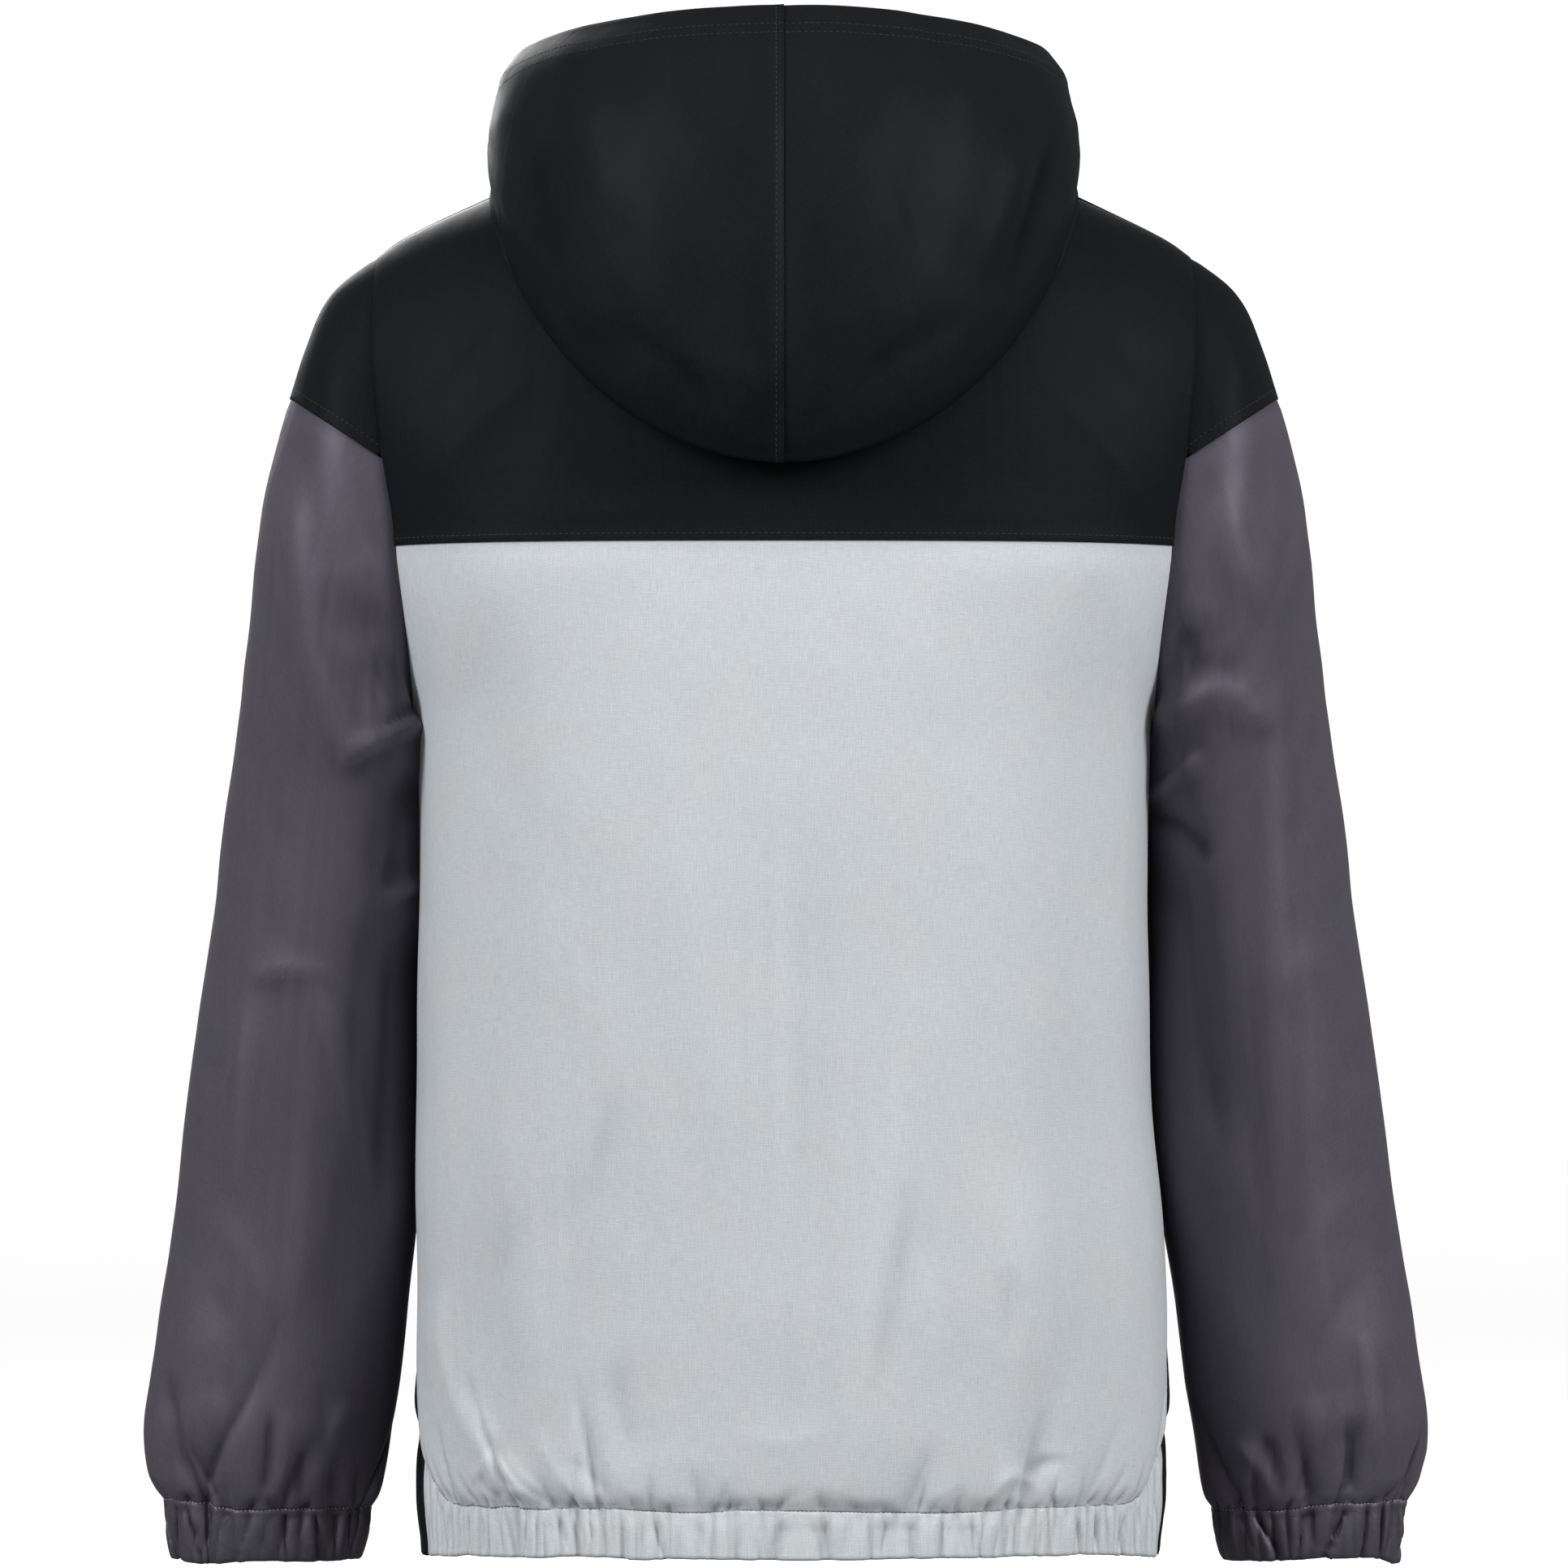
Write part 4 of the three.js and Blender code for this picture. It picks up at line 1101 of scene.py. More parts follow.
class Signal:
    """A node's output in a material, which takes part in arithmetic."""

    def __init__(self, shader: "Shader", socket: bpy.types.NodeSocket) -> None:
        """Keeps the socket and the material it belongs to."""
        self.shader, self.socket = shader, socket

    def _math(self, operation: str, other: "Signal | float | None" = None) -> "Signal":
        """The result of a Math node on this value, and on another where it takes two."""
        values = (self,) if other is None else (self, other)
        return self.shader.node("ShaderNodeMath", {"operation": operation}, dict(enumerate(values)))

    def __rsub__(self, other: float) -> "Signal":
        """Difference, from the right."""
        return self * -1 + other

    def __rpow__(self, other: float) -> "Signal":
        """Power, from the right."""
        return self.shader.node("ShaderNodeMath", {"operation": "POWER"}, {0: other, 1: self})

    __add__ = __radd__ = partialmethod(_math, "ADD")
    __sub__ = partialmethod(_math, "SUBTRACT")
    __mul__ = __rmul__ = partialmethod(_math, "MULTIPLY")
    __pow__ = partialmethod(_math, "POWER")
    cosine = partialmethod(_math, "COSINE")
    greatest = partialmethod(_math, "MAXIMUM")

    def fall(self, length: float) -> "Signal":
        """A value that falls from 1 at nothing to 0 at a length."""
        ranges = {"Value": self, "From Min": 0.0, "From Max": length, "To Min": 1.0, "To Max": 0.0}
        return self.shader.node("ShaderNodeMapRange", {"interpolation_type": "SMOOTHSTEP"}, ranges)

    def between(self, low: float, high: float, first: float, last: float) -> "Signal":
        """A value that goes evenly from first to last while this one goes from low to high."""
        ranges = {"Value": self, "From Min": low, "From Max": high, "To Min": first, "To Max": last}
        return self.shader.node("ShaderNodeMapRange", {}, ranges)


class Shader:
    """The node tree of one material, with a Principled shader at its end."""

    def __init__(self, name: str, **fixed: float | Colour) -> None:
        """Makes the material; each fixed value is set on the shader's own socket.

        Args:
            name: the material's name.
            **fixed: values by the sockets' names, in small letters.
        """
        self.material = bpy.data.materials.new(name)
        self.material.use_nodes = True
        self.tree = self.material.node_tree
        self.surface = self.tree.nodes["Principled BSDF"]
        for key, value in fixed.items():
            plain = (*value, 1.0) if isinstance(value, tuple) else value
            self.surface.inputs[key.replace("_", " ").title().replace("Ior", "IOR")].default_value = plain

    def node(self, kind: str, settings: dict[str, object], inputs: dict[str | int, object],
             output: str | int = 0) -> Signal:
        """Adds a node.

        Args:
            kind: the node's type.
            settings: its own settings, which are set first.
            inputs: values or signals for its sockets, by name or place.
            output: which of its outputs is wanted.

        Returns:
            The output.
        """
        made = self.tree.nodes.new(kind)
        for key, value in settings.items():
            setattr(made, key, value)
        for key, value in inputs.items():
            if isinstance(value, Signal):
                self.tree.links.new(value.socket, made.inputs[key])
            else:
                made.inputs[key].default_value = value
        return Signal(self, made.outputs[output])

    def feed(self, name: str, value: Signal) -> None:
        """Links a value that changes over the surface to one of the shader's sockets."""
        self.tree.links.new(value.socket, self.surface.inputs[name])

    def in_millimetres(self, place: Signal) -> Signal:
        """A place in metres, in millimetres."""
        return self.node("ShaderNodeVectorMath", {"operation": "SCALE"}, {0: place, "Scale": 1 / MM})

    def fabric(self) -> Signal:
        """Place on the cloth in millimetres, along its two threads."""
        return self.in_millimetres(self.node("ShaderNodeUVMap", {"uv_map": "fabric"}, {}))

    def note(self, name: str) -> Signal:
        """A value that the cloth carries at each point."""
        return self.node("ShaderNodeAttribute", {"attribute_name": name}, {}, "Fac")

    def solid(self) -> Signal:
        """Place in the object in millimetres."""
        return self.in_millimetres(self.node("ShaderNodeTexCoord", {}, {}, "Object"))

    def parts(self, place: Signal) -> tuple[Signal, Signal]:
        """The first two parts of a place."""
        split = self.node("ShaderNodeSeparateXYZ", {}, {0: place})
        return split, Signal(self, split.socket.node.outputs[1])

    def noise(self, place: Signal, size: float, detail: float = 2.0) -> Signal:
        """Cloudy value from 0 to 1 with a mean size in millimetres."""
        inputs = {"Vector": place, "Scale": 1 / size, "Detail": detail, "Roughness": 0.55}
        return self.node("ShaderNodeTexNoise", {"noise_dimensions": "3D"}, inputs)

    def streaks(self, place: Signal, across: float, along: float, detail: float = 2.0) -> Signal:
        """Cloudy value from 0 to 1 that is drawn out, with its two mean sizes in millimetres."""
        drawn = {0: place, 1: (1 / across, 1 / along, 1.0)}
        return self.noise(self.node("ShaderNodeVectorMath", {"operation": "MULTIPLY"}, drawn), 1.0, detail)

    def waves(self, along: Signal, pitch: float) -> Signal:
        """Value that rises and falls between 0 and 1 at a pitch in millimetres."""
        return (along * (2 * math.pi / pitch)).cosine() * 0.5 + 0.5

    def tint(self, dark: Colour, pale: Colour, share: Signal) -> Signal:
        """Colour between two, by a share."""
        return self.node("ShaderNodeMix", {"data_type": "RGBA"}, {0: share, 6: (*dark, 1), 7: (*pale, 1)}, 2)

    def times(self, one: Signal, other: Signal) -> Signal:
        """Product of two colours."""
        settings = {"data_type": "RGBA", "blend_type": "MULTIPLY"}
        return self.node("ShaderNodeMix", settings, {0: 1.0, 6: one, 7: other}, 2)

    def bump(self, height: Signal, depth: float) -> None:
        """Raises the surface by a height of 0 to 1 times a depth in millimetres."""
        inputs = {"Strength": 1.0, "Distance": depth * MM, "Height": height}
        self.feed("Normal", self.node("ShaderNodeBump", {}, inputs))


def shaded(colour: Colour, share: float) -> Colour:
    """A colour made brighter or darker."""
    return tuple(part * share for part in colour)


def unit_bright(colour: Colour) -> Colour:
    """The hue of a colour at full brightness."""
    return shaded(colour, 1 / max(colour))


@dataclass(frozen=True)
class Nylon:
    """Thin coated nylon with uneven yarns and a faint grid of stronger threads.

    Attributes:
        name: of the material.
        colour: its mean colour.
        gloss: its mean roughness.
        weave: how much its yarns differ in brightness.
        cool: how much bluer some areas are than others.
        sheen: how much its fibres glow at a flat angle.
        specular: strength of its clear reflection.
        grid_pitch: distance between the stronger threads.
        grid: how much brighter those are.
        satin: height of the long soft streaks down the cloth.
        crinkle: height of the small wrinkles.
        pleat: height of the fine pleats of a casing.
        painted_fold_shade: how much painted shade darkens the bottom of a fold, with a faint painted
            highlight on raised ridges.
        relief: height of the yarns.
    """

    name: str
    colour: Colour
    gloss: float = 0.46
    weave: float = 0.10
    cool: float = 0.03
    sheen: float = 0.05
    specular: float = 0.3
    grid_pitch: float = 1.45
    grid: float = 0.25
    satin: float = 0.35
    crinkle: float = 0.12
    pleat: float = 0.0
    painted_fold_shade: float = 0.45
    relief: float = 0.014

    def material(self) -> bpy.types.Material:
        """Builds the material."""
        shader = Shader(
            self.name, specular_ior_level=self.specular, specular_tint=unit_bright(self.colour),
            sheen_weight=self.sheen, sheen_roughness=0.35,
        )
        place = shader.fabric()
        across, along = shader.parts(place)
        bars = [shader.waves(run, self.grid_pitch) ** 6 for run in (across, along)]
        grid = bars[0].greatest(bars[1])
        warp, weft = shader.streaks(place, 0.55, 9.0), shader.streaks(place, 8.0, 0.6)
        fine, broad = shader.noise(place, 0.9, 2.0), shader.noise(place, 48.0, 2.0)
        yarns = warp * 1.1 + weft * 0.9 + fine * 0.8 + grid * self.grid - (0.9 + self.grid / 4)
        tone = shader.tint(shaded(WHITE, 1 - self.weave), shaded(WHITE, 1 + self.weave), yarns)
        # Painted shade: the colour darkens where the cloth lies in a hollow below its surroundings, and
        # brightens a little on ridges as painted highlight.
        depth = shader.note("hollow").between(-0.4, 1.0, 1 + self.painted_fold_shade / 6, 1 - self.painted_fold_shade)
        tone = shader.times(tone, shader.tint(BLACK, WHITE, depth))
        red, green, blue = self.colour
        warm = (red * (1 + self.cool), green, blue * (1 - self.cool))
        chill = (red * (1 - self.cool), green, blue * (1 + self.cool))
        shader.feed("Base Color", shader.times(shader.tint(warm, chill, broad * 2 - 0.5), tone))
        shader.feed("Roughness", broad * 0.1 + yarns * 0.08 + (self.gloss - 0.09))
        edge = shader.note("seam").fall(7.0)
        streak = shader.streaks(place, 11.0, 150.0, 1.0)
        wrinkles = shader.noise(place, 5.5, 2.5) + shader.noise(place, 2.6, 1.0) * edge * 2
        height = streak * self.satin + wrinkles * self.crinkle + (yarns + grid * 0.4) * self.relief
        if self.pleat:
            fold = shader.streaks(place, 3.2, 40.0, 2.0) * 2 - 1
            height = height + (fold * fold) ** 0.5 * self.pleat
        shader.bump(height, 1.0)
        return shader.material


@dataclass(frozen=True)
class Thread:
    """Twisted sewing thread."""

    name: str
    colour: Colour

    def material(self) -> bpy.types.Material:
        """Builds the material."""
        shader = Shader(self.name, specular_ior_level=0.3, sheen_weight=0.1)
        place = shader.solid()
        strands = shader.noise(place, 0.25, 2.0)
        shader.feed("Base Color", shader.tint(shaded(self.colour, 0.8), shaded(self.colour, 1.2), strands))
        shader.feed("Roughness", strands * 0.2 + 0.5)
        shader.bump(strands, 0.05)
        return shader.material


@dataclass(frozen=True)
class WovenTape:
    """Narrow woven polyester tape with ribs across it."""

    name: str
    colour: Colour
    rib: float = 0.7

    def material(self) -> bpy.types.Material:
        """Builds the material."""
        shader = Shader(self.name, specular_ior_level=0.3, sheen_weight=0.15, sheen_roughness=0.4)
        place = shader.fabric()
        across, along = shader.parts(place)
        ribs = shader.waves(along, self.rib) * 0.6 + shader.waves(across, self.rib) * 0.4
        dust = shader.noise(place, 1.5, 2.0)
        shader.feed("Base Color", shader.tint(shaded(self.colour, 0.7), shaded(self.colour, 1.4), ribs))
        shader.feed("Roughness", dust * 0.15 + 0.6)
        shader.bump(ribs + dust * 0.3, 0.1)
        return shader.material


@dataclass(frozen=True)
class Moulded:
    """Moulded or lacquered hard trim with a faint orange-peel surface."""

    name: str
    colour: Colour
    roughness: float
    metallic: float = 0.0
    coat: float = 0.0
    grain: float = 0.6

    def material(self) -> bpy.types.Material:
        """Builds the material."""
        shader = Shader(
            self.name, metallic=self.metallic, coat_weight=self.coat, coat_roughness=0.2,
            specular_ior_level=0.5,
        )
        place = shader.solid()
        skin, rub = shader.noise(place, self.grain, 2.0), shader.noise(place, 3.5, 3.0)
        shader.feed("Base Color", shader.tint(shaded(self.colour, 0.8), shaded(self.colour, 1.25), rub))
        shader.feed("Roughness", skin * 0.08 + rub * 0.14 + (self.roughness - 0.11))
        shader.bump(skin, 0.03)
        return shader.material


@dataclass(frozen=True)
class StudioPaper:
    """Plain pale paper of the floor and the backdrop."""

    name: str = "studio_paper"
    glow: float = 0.75

    def material(self) -> bpy.types.Material:
        """Builds the material."""
        shader = Shader(
            self.name, base_color=(0.85, 0.85, 0.85), roughness=0.95, specular_ior_level=0.1,
            emission_color=WHITE, emission_strength=self.glow,
        )
        return shader.material


class Finish(Enum):
    """The finishes of the jacket."""

    PANEL = Nylon("panel_nylon", (0.53, 0.558, 0.586), gloss=0.5, weave=0.15, specular=0.16, painted_fold_shade=0.3)
    CASING = Nylon("casing_nylon", (0.54, 0.57, 0.595), gloss=0.5, weave=0.15, specular=0.16, pleat=0.2,
                   painted_fold_shade=0.36)
    SHELL = Nylon("shell_nylon", (0.0082, 0.0090, 0.0104), gloss=0.54, weave=0.3, sheen=0.0, specular=0.045)
    HOOD = Nylon("hood_nylon", (0.0082, 0.0090, 0.0104), gloss=0.52, weave=0.3, sheen=0.0, specular=0.06)
    SLEEVE = Nylon("sleeve_nylon", (0.070, 0.0645, 0.082), gloss=0.56, weave=0.24, sheen=0.03, specular=0.44,
                   satin=0.4, crinkle=0.1, painted_fold_shade=0.5)
    CUFF = Nylon("cuff_nylon", (0.050, 0.0465, 0.057), gloss=0.48, weave=0.22, sheen=0.03, specular=0.5,
                 pleat=0.12, crinkle=0.08, painted_fold_shade=0.55)
    BLACK_THREAD = Thread("black_thread", (0.022, 0.023, 0.026))
    # Thread of the back hem: the stitches are real, but their near-black colour is painted shade of the
    # needle holes and gaps along them, where the thread itself is pale.
    GREY_THREAD = Thread("grey_thread", (0.05, 0.055, 0.06))
    PALE_THREAD = Thread("pale_thread", (0.34, 0.34, 0.40))
    TAPE = WovenTape("zip_tape_weave", (0.012, 0.013, 0.014))
    TEETH = Moulded("zip_acetal", (0.02, 0.02, 0.022), roughness=0.42)
    METAL = Moulded("zip_lacquer", (0.03, 0.031, 0.033), roughness=0.34, metallic=0.85, coat=0.3)
    PAPER = StudioPaper()


class Wardrobe:
    """The materials, each made once, when it is first worn."""

    def __init__(self) -> None:
        """Starts with no materials."""
        self.made: dict[Finish, bpy.types.Material] = {}

    def dress(self, piece: bpy.types.Object, finish: Finish) -> bpy.types.Object:
        """Gives a piece its material.

        Args:
            piece: what is dressed.
            finish: its finish.

        Returns:
            The same piece.
        """
        if finish not in self.made:
            self.made[finish] = finish.value.material()
        piece.data.materials.clear()
        piece.data.materials.append(self.made[finish])
        return piece


# ---- sewing


@dataclass(frozen=True)
class StitchRow:
    """A row of lockstitches along a line of the cloth, in millimetres."""

    pitch: float = 3.2
    length: float = 2.3
    width: float = 0.42
    height: float = 0.34

    def sew(self, bm: bmesh.types.BMesh, points: Array, normals: Array, proud: float = 0.05) -> None:
        """Adds the stitches.

        Args:
            bm: the mesh that takes them.
            points: the line.
            normals: the cloth's normals along it.
            proud: how far the thread's middle stands off the cloth.
        """
        run = np.concatenate([[0.0], np.cumsum(np.linalg.norm(np.diff(points, axis=0), axis=-1))])
        places = np.arange(self.pitch / 2, run[-1], self.pitch)
        spots = np.stack([np.interp(places, run, points[:, k]) for k in range(3)], axis=-1)
        ahead = np.stack([np.interp(places + self.pitch / 4, run, points[:, k]) for k in range(3)], axis=-1)
        up = unit(np.stack([np.interp(places, run, normals[:, k]) for k in range(3)], axis=-1))
        along = unit(ahead - spots + NEARLY_ZERO)
        aside = unit(np.cross(up, along))
        up = np.cross(along, aside)
        spots = spots + up * proud
        for spot, a, b, c in zip(spots, along, aside, up):
            turn = Matrix((a * self.length, b * self.width, c * self.height)).transposed().to_4x4()
            turn.translation = spot
            bmesh.ops.create_icosphere(bm, subdivisions=1, radius=0.5, matrix=Matrix.Scale(MM, 4) @ turn)


@dataclass(frozen=True)
class Cut:
    """The flat size that a piece was cut to, in metres and square metres, and how it is held."""

    width: float
    length: float
    area: float
    held: str = "stretched"


@dataclass
class Workroom:
    """What all the pieces are sewn with: in millimetres, and how far cloth runs on under its neighbour.

    Attributes:
        wardrobe: the materials.
        thickness: of the cloth.
        tuck: how far a seam's hidden edge runs on.
        sink: how deep that edge lies.
        casing_tuck: the same for the top of a casing.
        casing_sink: how deep that top lies.
        stitches: the stitches of a plain seam.
    """

    wardrobe: Wardrobe
    thickness: float = 0.45
    tuck: float = 2.6
    sink: float = 0.8
    casing_tuck: float = 1.6
    casing_sink: float = 0.9
    stitches: StitchRow = StitchRow()

    def hand_over(self, made: bpy.types.Object, finish: Finish, nodes: Sequence[str] = (),
                  body: str = "jacket") -> None:
        """Dresses a piece, hangs it on the empty of the body that it rides on, and hides the CAD nodes that
        it stands for.

        Args:
            made: the piece.
            finish: its finish.
            nodes: the CAD nodes that it stands for; none for stitches.
            body: the body that it rides on.
        """
        self.wardrobe.dress(made, finish)
        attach(made, body)
        if nodes:
            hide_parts(*nodes)
        LOG.info("%s: %d faces", made.name, len(made.data.polygons))

    def finish_cloth(self, cloth: Cloth, node: str, finish: Finish, cut: Cut, *rests_on: str,
                     thickness: float | None = None) -> None:
        """Makes a piece of cloth, dresses it and hides the CAD node that it stands for.

        Args:
            cloth: the piece's grid.
            node: the CAD node that it stands for.
            finish: its finish.
            cut: its flat size; not used.
            rests_on: pieces that hold it; not used.
            thickness: of the cloth, if it isn't the garment's own.
        """
        made = cloth.build(f"{node}_cloth", thickness or self.thickness)
        self.hand_over(made, finish, [node])

    def stitch(self, name: str, finish: Finish, *lines: tuple[Array, Array],
               row: StitchRow | None = None) -> None:
        """Sews along some lines of the cloth, as one piece.

        Args:
            name: the piece's name.
            finish: the thread.
            lines: the points and normals of each line.
            row: the kind of stitches, if not the plain ones.
        """
        bm = bmesh.new()
        for points, normals in lines:
            (row or self.stitches).sew(bm, points, normals)
        self.hand_over(joined(f"{name}_stitches", bm), finish)


# ---- the body's pieces


def spread(count: int, pull: float) -> Array:
    """Shares from 0 to 1 that lie closer together at the start."""
    return np.expm1(pull * np.linspace(0, 1, count + 1)) / math.expm1(pull)


@dataclass(frozen=True)
class Elastic:
    """What the elastic in a casing does to the cloth on both sides of its seam.

    Attributes:
        blouse: the puff of cloth over the seam.
        pleats: the tucks over the seam.
        casing: the tucks of the casing itself.
        wave: how the seam wanders up and down.
        roll: how round the casing's tube is.
        draw: how far it draws both sides in where it pulls most.
        draw_reach: how far up that is felt.
        wave_reach: how far from the seam its wandering is felt.
    """

    blouse: Blouse
    pleats: tuple[Gathers, ...]
    casing: tuple[Gathers, ...]
    wave: Crumple
    roll: float = 1.5
    draw: float = 0.0
    draw_reach: float = 26.0
    wave_reach: float = 9.0

    def wander(self, along: Array, away: Array) -> Array:
        """How far the cloth moves up or down with the seam."""
        return self.wave.field(along, 0 * along) * np.exp(-np.abs(away) / self.wave_reach)

    def drawn(self, away: Array, pull: Array | float) -> Array:
        """How far the cloth is drawn in at a distance from the seam."""
        return -self.draw * pull * np.exp(-(np.maximum(away, 0) / self.draw_reach) ** 1.4)

    def above(self, along: Array, away: Array) -> Array:
        """Lift of the cloth over the seam."""
        return self.blouse.field(away) + sum(pleat.field(along, away) for pleat in self.pleats)

    def inside(self, along: Array, away: Array, height: float) -> Array:
        """Lift of the casing under the seam, whose distances are negative.

        Args:
            along: length along the seam.
            away: distance from it.
            height: of the casing.

        Returns:
            One lift for each place.
        """
        share = np.clip(-away / height, 0, 1)
        pleats = sum(pleat.field(along, 0 * away) for pleat in self.pleats)
        own = sum(pleat.field(along, -away) for pleat in self.casing)
        tube = self.roll * np.sin(math.pi * share) ** 0.7
        return self.blouse.field(away) + tube + pleats * (1 - 0.6 * share) + own * smooth(share, 0.0, 0.15)


@dataclass
class Torso:
    """Back panel, back yoke, the two fronts and the hem casing."""

    room: Workroom
    body: BodyForm
    core: tuple[float, float, float] = (0.0, 0.0, -420.0)
    seam_length: float = 220.0
    panel_grid: tuple[int, int] = (300, 130)
    yoke_grid: tuple[int, int] = (150, 64)
    casing_rows: int = 20
    casing_columns: int = 400
    front_columns: int = 108
    front_rows: tuple[int, int] = (84, 46)
    topstitch: float = 3.4
    lap: float = 0.5
    front_turn: float = 8.0
    side_step: float = 2.0
    under_back: float = 0.4
    slack: float = 1.8
    flank_z: tuple[float, float] = (540.0, 640.0)
    beside_zip: tuple[float, float] = (0.02, 0.14)
    side_dip: float = 0.8
    eased_reach: float = 36.0
    eased_rounds: int = 30
    side_from: float = 0.88
    fold_end: float = 0.93
    side_tuck: tuple[float, float] = (1.8, 1.2)
    casing_fold: tuple[float, float] = (16.0, 2.4)
    hem_line: float = 0.35
    zip_line: float = 4.5
    hem_stitches: StitchRow = StitchRow(pitch=2.2, length=1.4, width=0.5)
    back_elastic: Elastic = Elastic(
        Blouse(2.2, 16.0, 1.4),
        (Gathers(11, 6.0, 1.5, 7.0, 0.5, -0.5, 0.32),
         Gathers(12, 10.0, 1.4, 17.0, 0.3, 0.3, 0.26, 0.35, fan=0.7),
         Gathers(13, 38.0, 2.2, 55.0, 0.25, 0.8, 0.13, 0.4, fan=0.5)),
        (Gathers(14, 5.2, 0.9, 60.0, 0.2, 0.0, 0.3), Gathers(16, 11.0, 1.5, 60.0, 0.25, 0.0, 0.26, 0.35)),
        Crumple(15, 12.0, 1.1),
    )
    front_elastic: Elastic = Elastic(
        Blouse(2.2, 16.0, 1.4),
        (Gathers(21, 6.2, 1.5, 7.0, 0.5, -0.5, 0.32),
         Gathers(22, 10.5, 1.4, 17.0, 0.3, 0.3, 0.26, 0.35),
         Gathers(23, 36.0, 2.2, 55.0, 0.25, 0.8, 0.13, 0.4)),
        (Gathers(24, 5.4, 0.9, 60.0, 0.2, 0.0, 0.3), Gathers(26, 11.0, 1.5, 60.0, 0.25, 0.0, 0.26, 0.35)),
        Crumple(25, 12.0, 1.1),
    )
    panel_creases: tuple[Crease, ...] = folds(
        (150, -430, 120, -700, 26, 3.0),
        (95, -520, 128, -705, 22, -2.5),
        (60, -300, 20, -560, 34, 2.0),
        (-20, -330, -15, -600, 30, -2.2),
        (-70, -420, -30, -700, 26, 2.4),
        (-110, -520, -150, -700, 26, 2.8),
        (-150, -600, -120, -712, 20, -2.4),
        (83, -484, 118, -575, 13, -1.8, 4, 0.4, 0.4, 0.3, 0.3),
        (138, -552, 152, -640, 12, -1.8, -3, -0.4, 0.4, 0.3, 0.2),
        (-63, -535, -41, -658, 13, -1.9, 4, 0.4, 0.4, 0.3, 0.3),
        (-73, -568, -77, -640, 10, 1.0),
        (-117, -578, -113, -626, 8, -0.9, 0, 0.3),
        (176, -590, 124, -702, 9, 3.0, -17, -0.4, 0.25),
        (158, -646, 122, -700, 6, 2.0, -6, -0.4, 0.25),
        (148, -668, 116, -704, 3.5, -2.2, -4, 0.3, 0.2),
        (150, -676, 132, -698, 3.5, 1.6, -6, -0.4, 0.2),
        (154, -688, 143, -700, 3, -1.6, -3, 0, 0.2),
        (126, -664, 94, -704, 6, 0.8, -5, 0.4, 0.25),
        (112, -678, 84, -704, 4, -0.9, 3, 0, 0.25),
        (84, -618, 74, -690, 14, -1.6, -4, 0.3),
        (90, -630, 70, -682, 11, -0.8, -2, 0, 0.4, 0.3, 0.3),
        (28, -664, -28, -662, 9, 0.7, -5),
        (-104, -700, -132, -694, 5, 2.0, 9, 0.3),
        (-121, -704, -147, -680, 5, -2.0, 10, -0.3),
    )
    yoke_creases: tuple[Crease, ...] = folds(
        (190, -190, 120, -120, 10, 1.2, 4),
        (196, -150, 140, -92, 8, -1.2, -3),
        (-188, -196, -130, -128, 10, 1.2, -4),
        (-196, -140, -150, -88, 8, -1.2, 3),
        (150, -205, 40, -196, 7, 0.8, 3),
        (-150, -204, -60, -198, 7, 0.8, -3),
    )
    front_creases: tuple[Crease, ...] = folds(
        (120, -300, 70, -620, 32, 2.4),
        (150, -480, 130, -700, 26, -2.2),
        (60, -560, 80, -708, 24, 2.2),
        (-120, -300, -70, -620, 32, 2.4),
        (-150, -480, -130, -700, 26, -2.2),
        (-60, -560, -80, -708, 24, 2.2),
        (176, -290, 92, -372, 10, 2.4, 8, 0.3),
        (180, -322, 104, -420, 9, -2.0, 6, -0.3),
        (-178, -298, -100, -392, 10, 2.2, -8, 0.3),
        (-176, -335, -84, -402, 8, -1.8, -5),
        (52, -470, 118, -560, 9, 1.8, 6),
        (-40, -520, -126, -600, 9, 1.9, -7, 0.3),
        (140, -586, 62, -668, 8, -1.8, -4),
        (-150, -600, -76, -690, 8, -1.8, 5),
        (100, -120, 70, -230, 14, 1.6, 6),
        (-98, -110, -78, -240, 14, 1.6, -6),
        (22, -250, 28, -420, 9, 1.2, 3),
        (-24, -330, -20, -500, 9, 1.2, -3),
        side=Side.FRONT,
    )
    crumples: tuple[Crumple, ...] = (
        Crumple(31, 56, 1.0, 2.6, 0.1, fold=0.3),
        Crumple(32, 21, 0.3, 1.8, -0.2),
    )

    def side_share(self, s: Array) -> Array:
        """0 on a piece, rising to 1 at its side seams."""
        return smooth(np.abs(s), self.side_from, 1.0)

    def inner(self, s: Array) -> Array:
        """1 on a piece, falling to 0 at its side seams, where its folds end."""
        return 1 - smooth(np.abs(s), self.fold_end, 1.0)

    def hem_height(self, side: Side, s: Array, bottom: bool = False) -> Array:
        """Height of the casing's seam, or of its bottom edge, in each column."""
        x = self.body.point(side, s, self.body.hem_seam_z)[..., 0] - self.body.sway(self.body.hem_seam_z)
        return self.body.hem_edge(x) if bottom else self.body.hem_seam(x)

    def yoke_height(self, s: Array) -> Array:
        """Height of the yoke seam in each column."""
        return self.body.yoke_seam(self.body.point(Side.BACK, s, self.body.yoke_z)[..., 0])

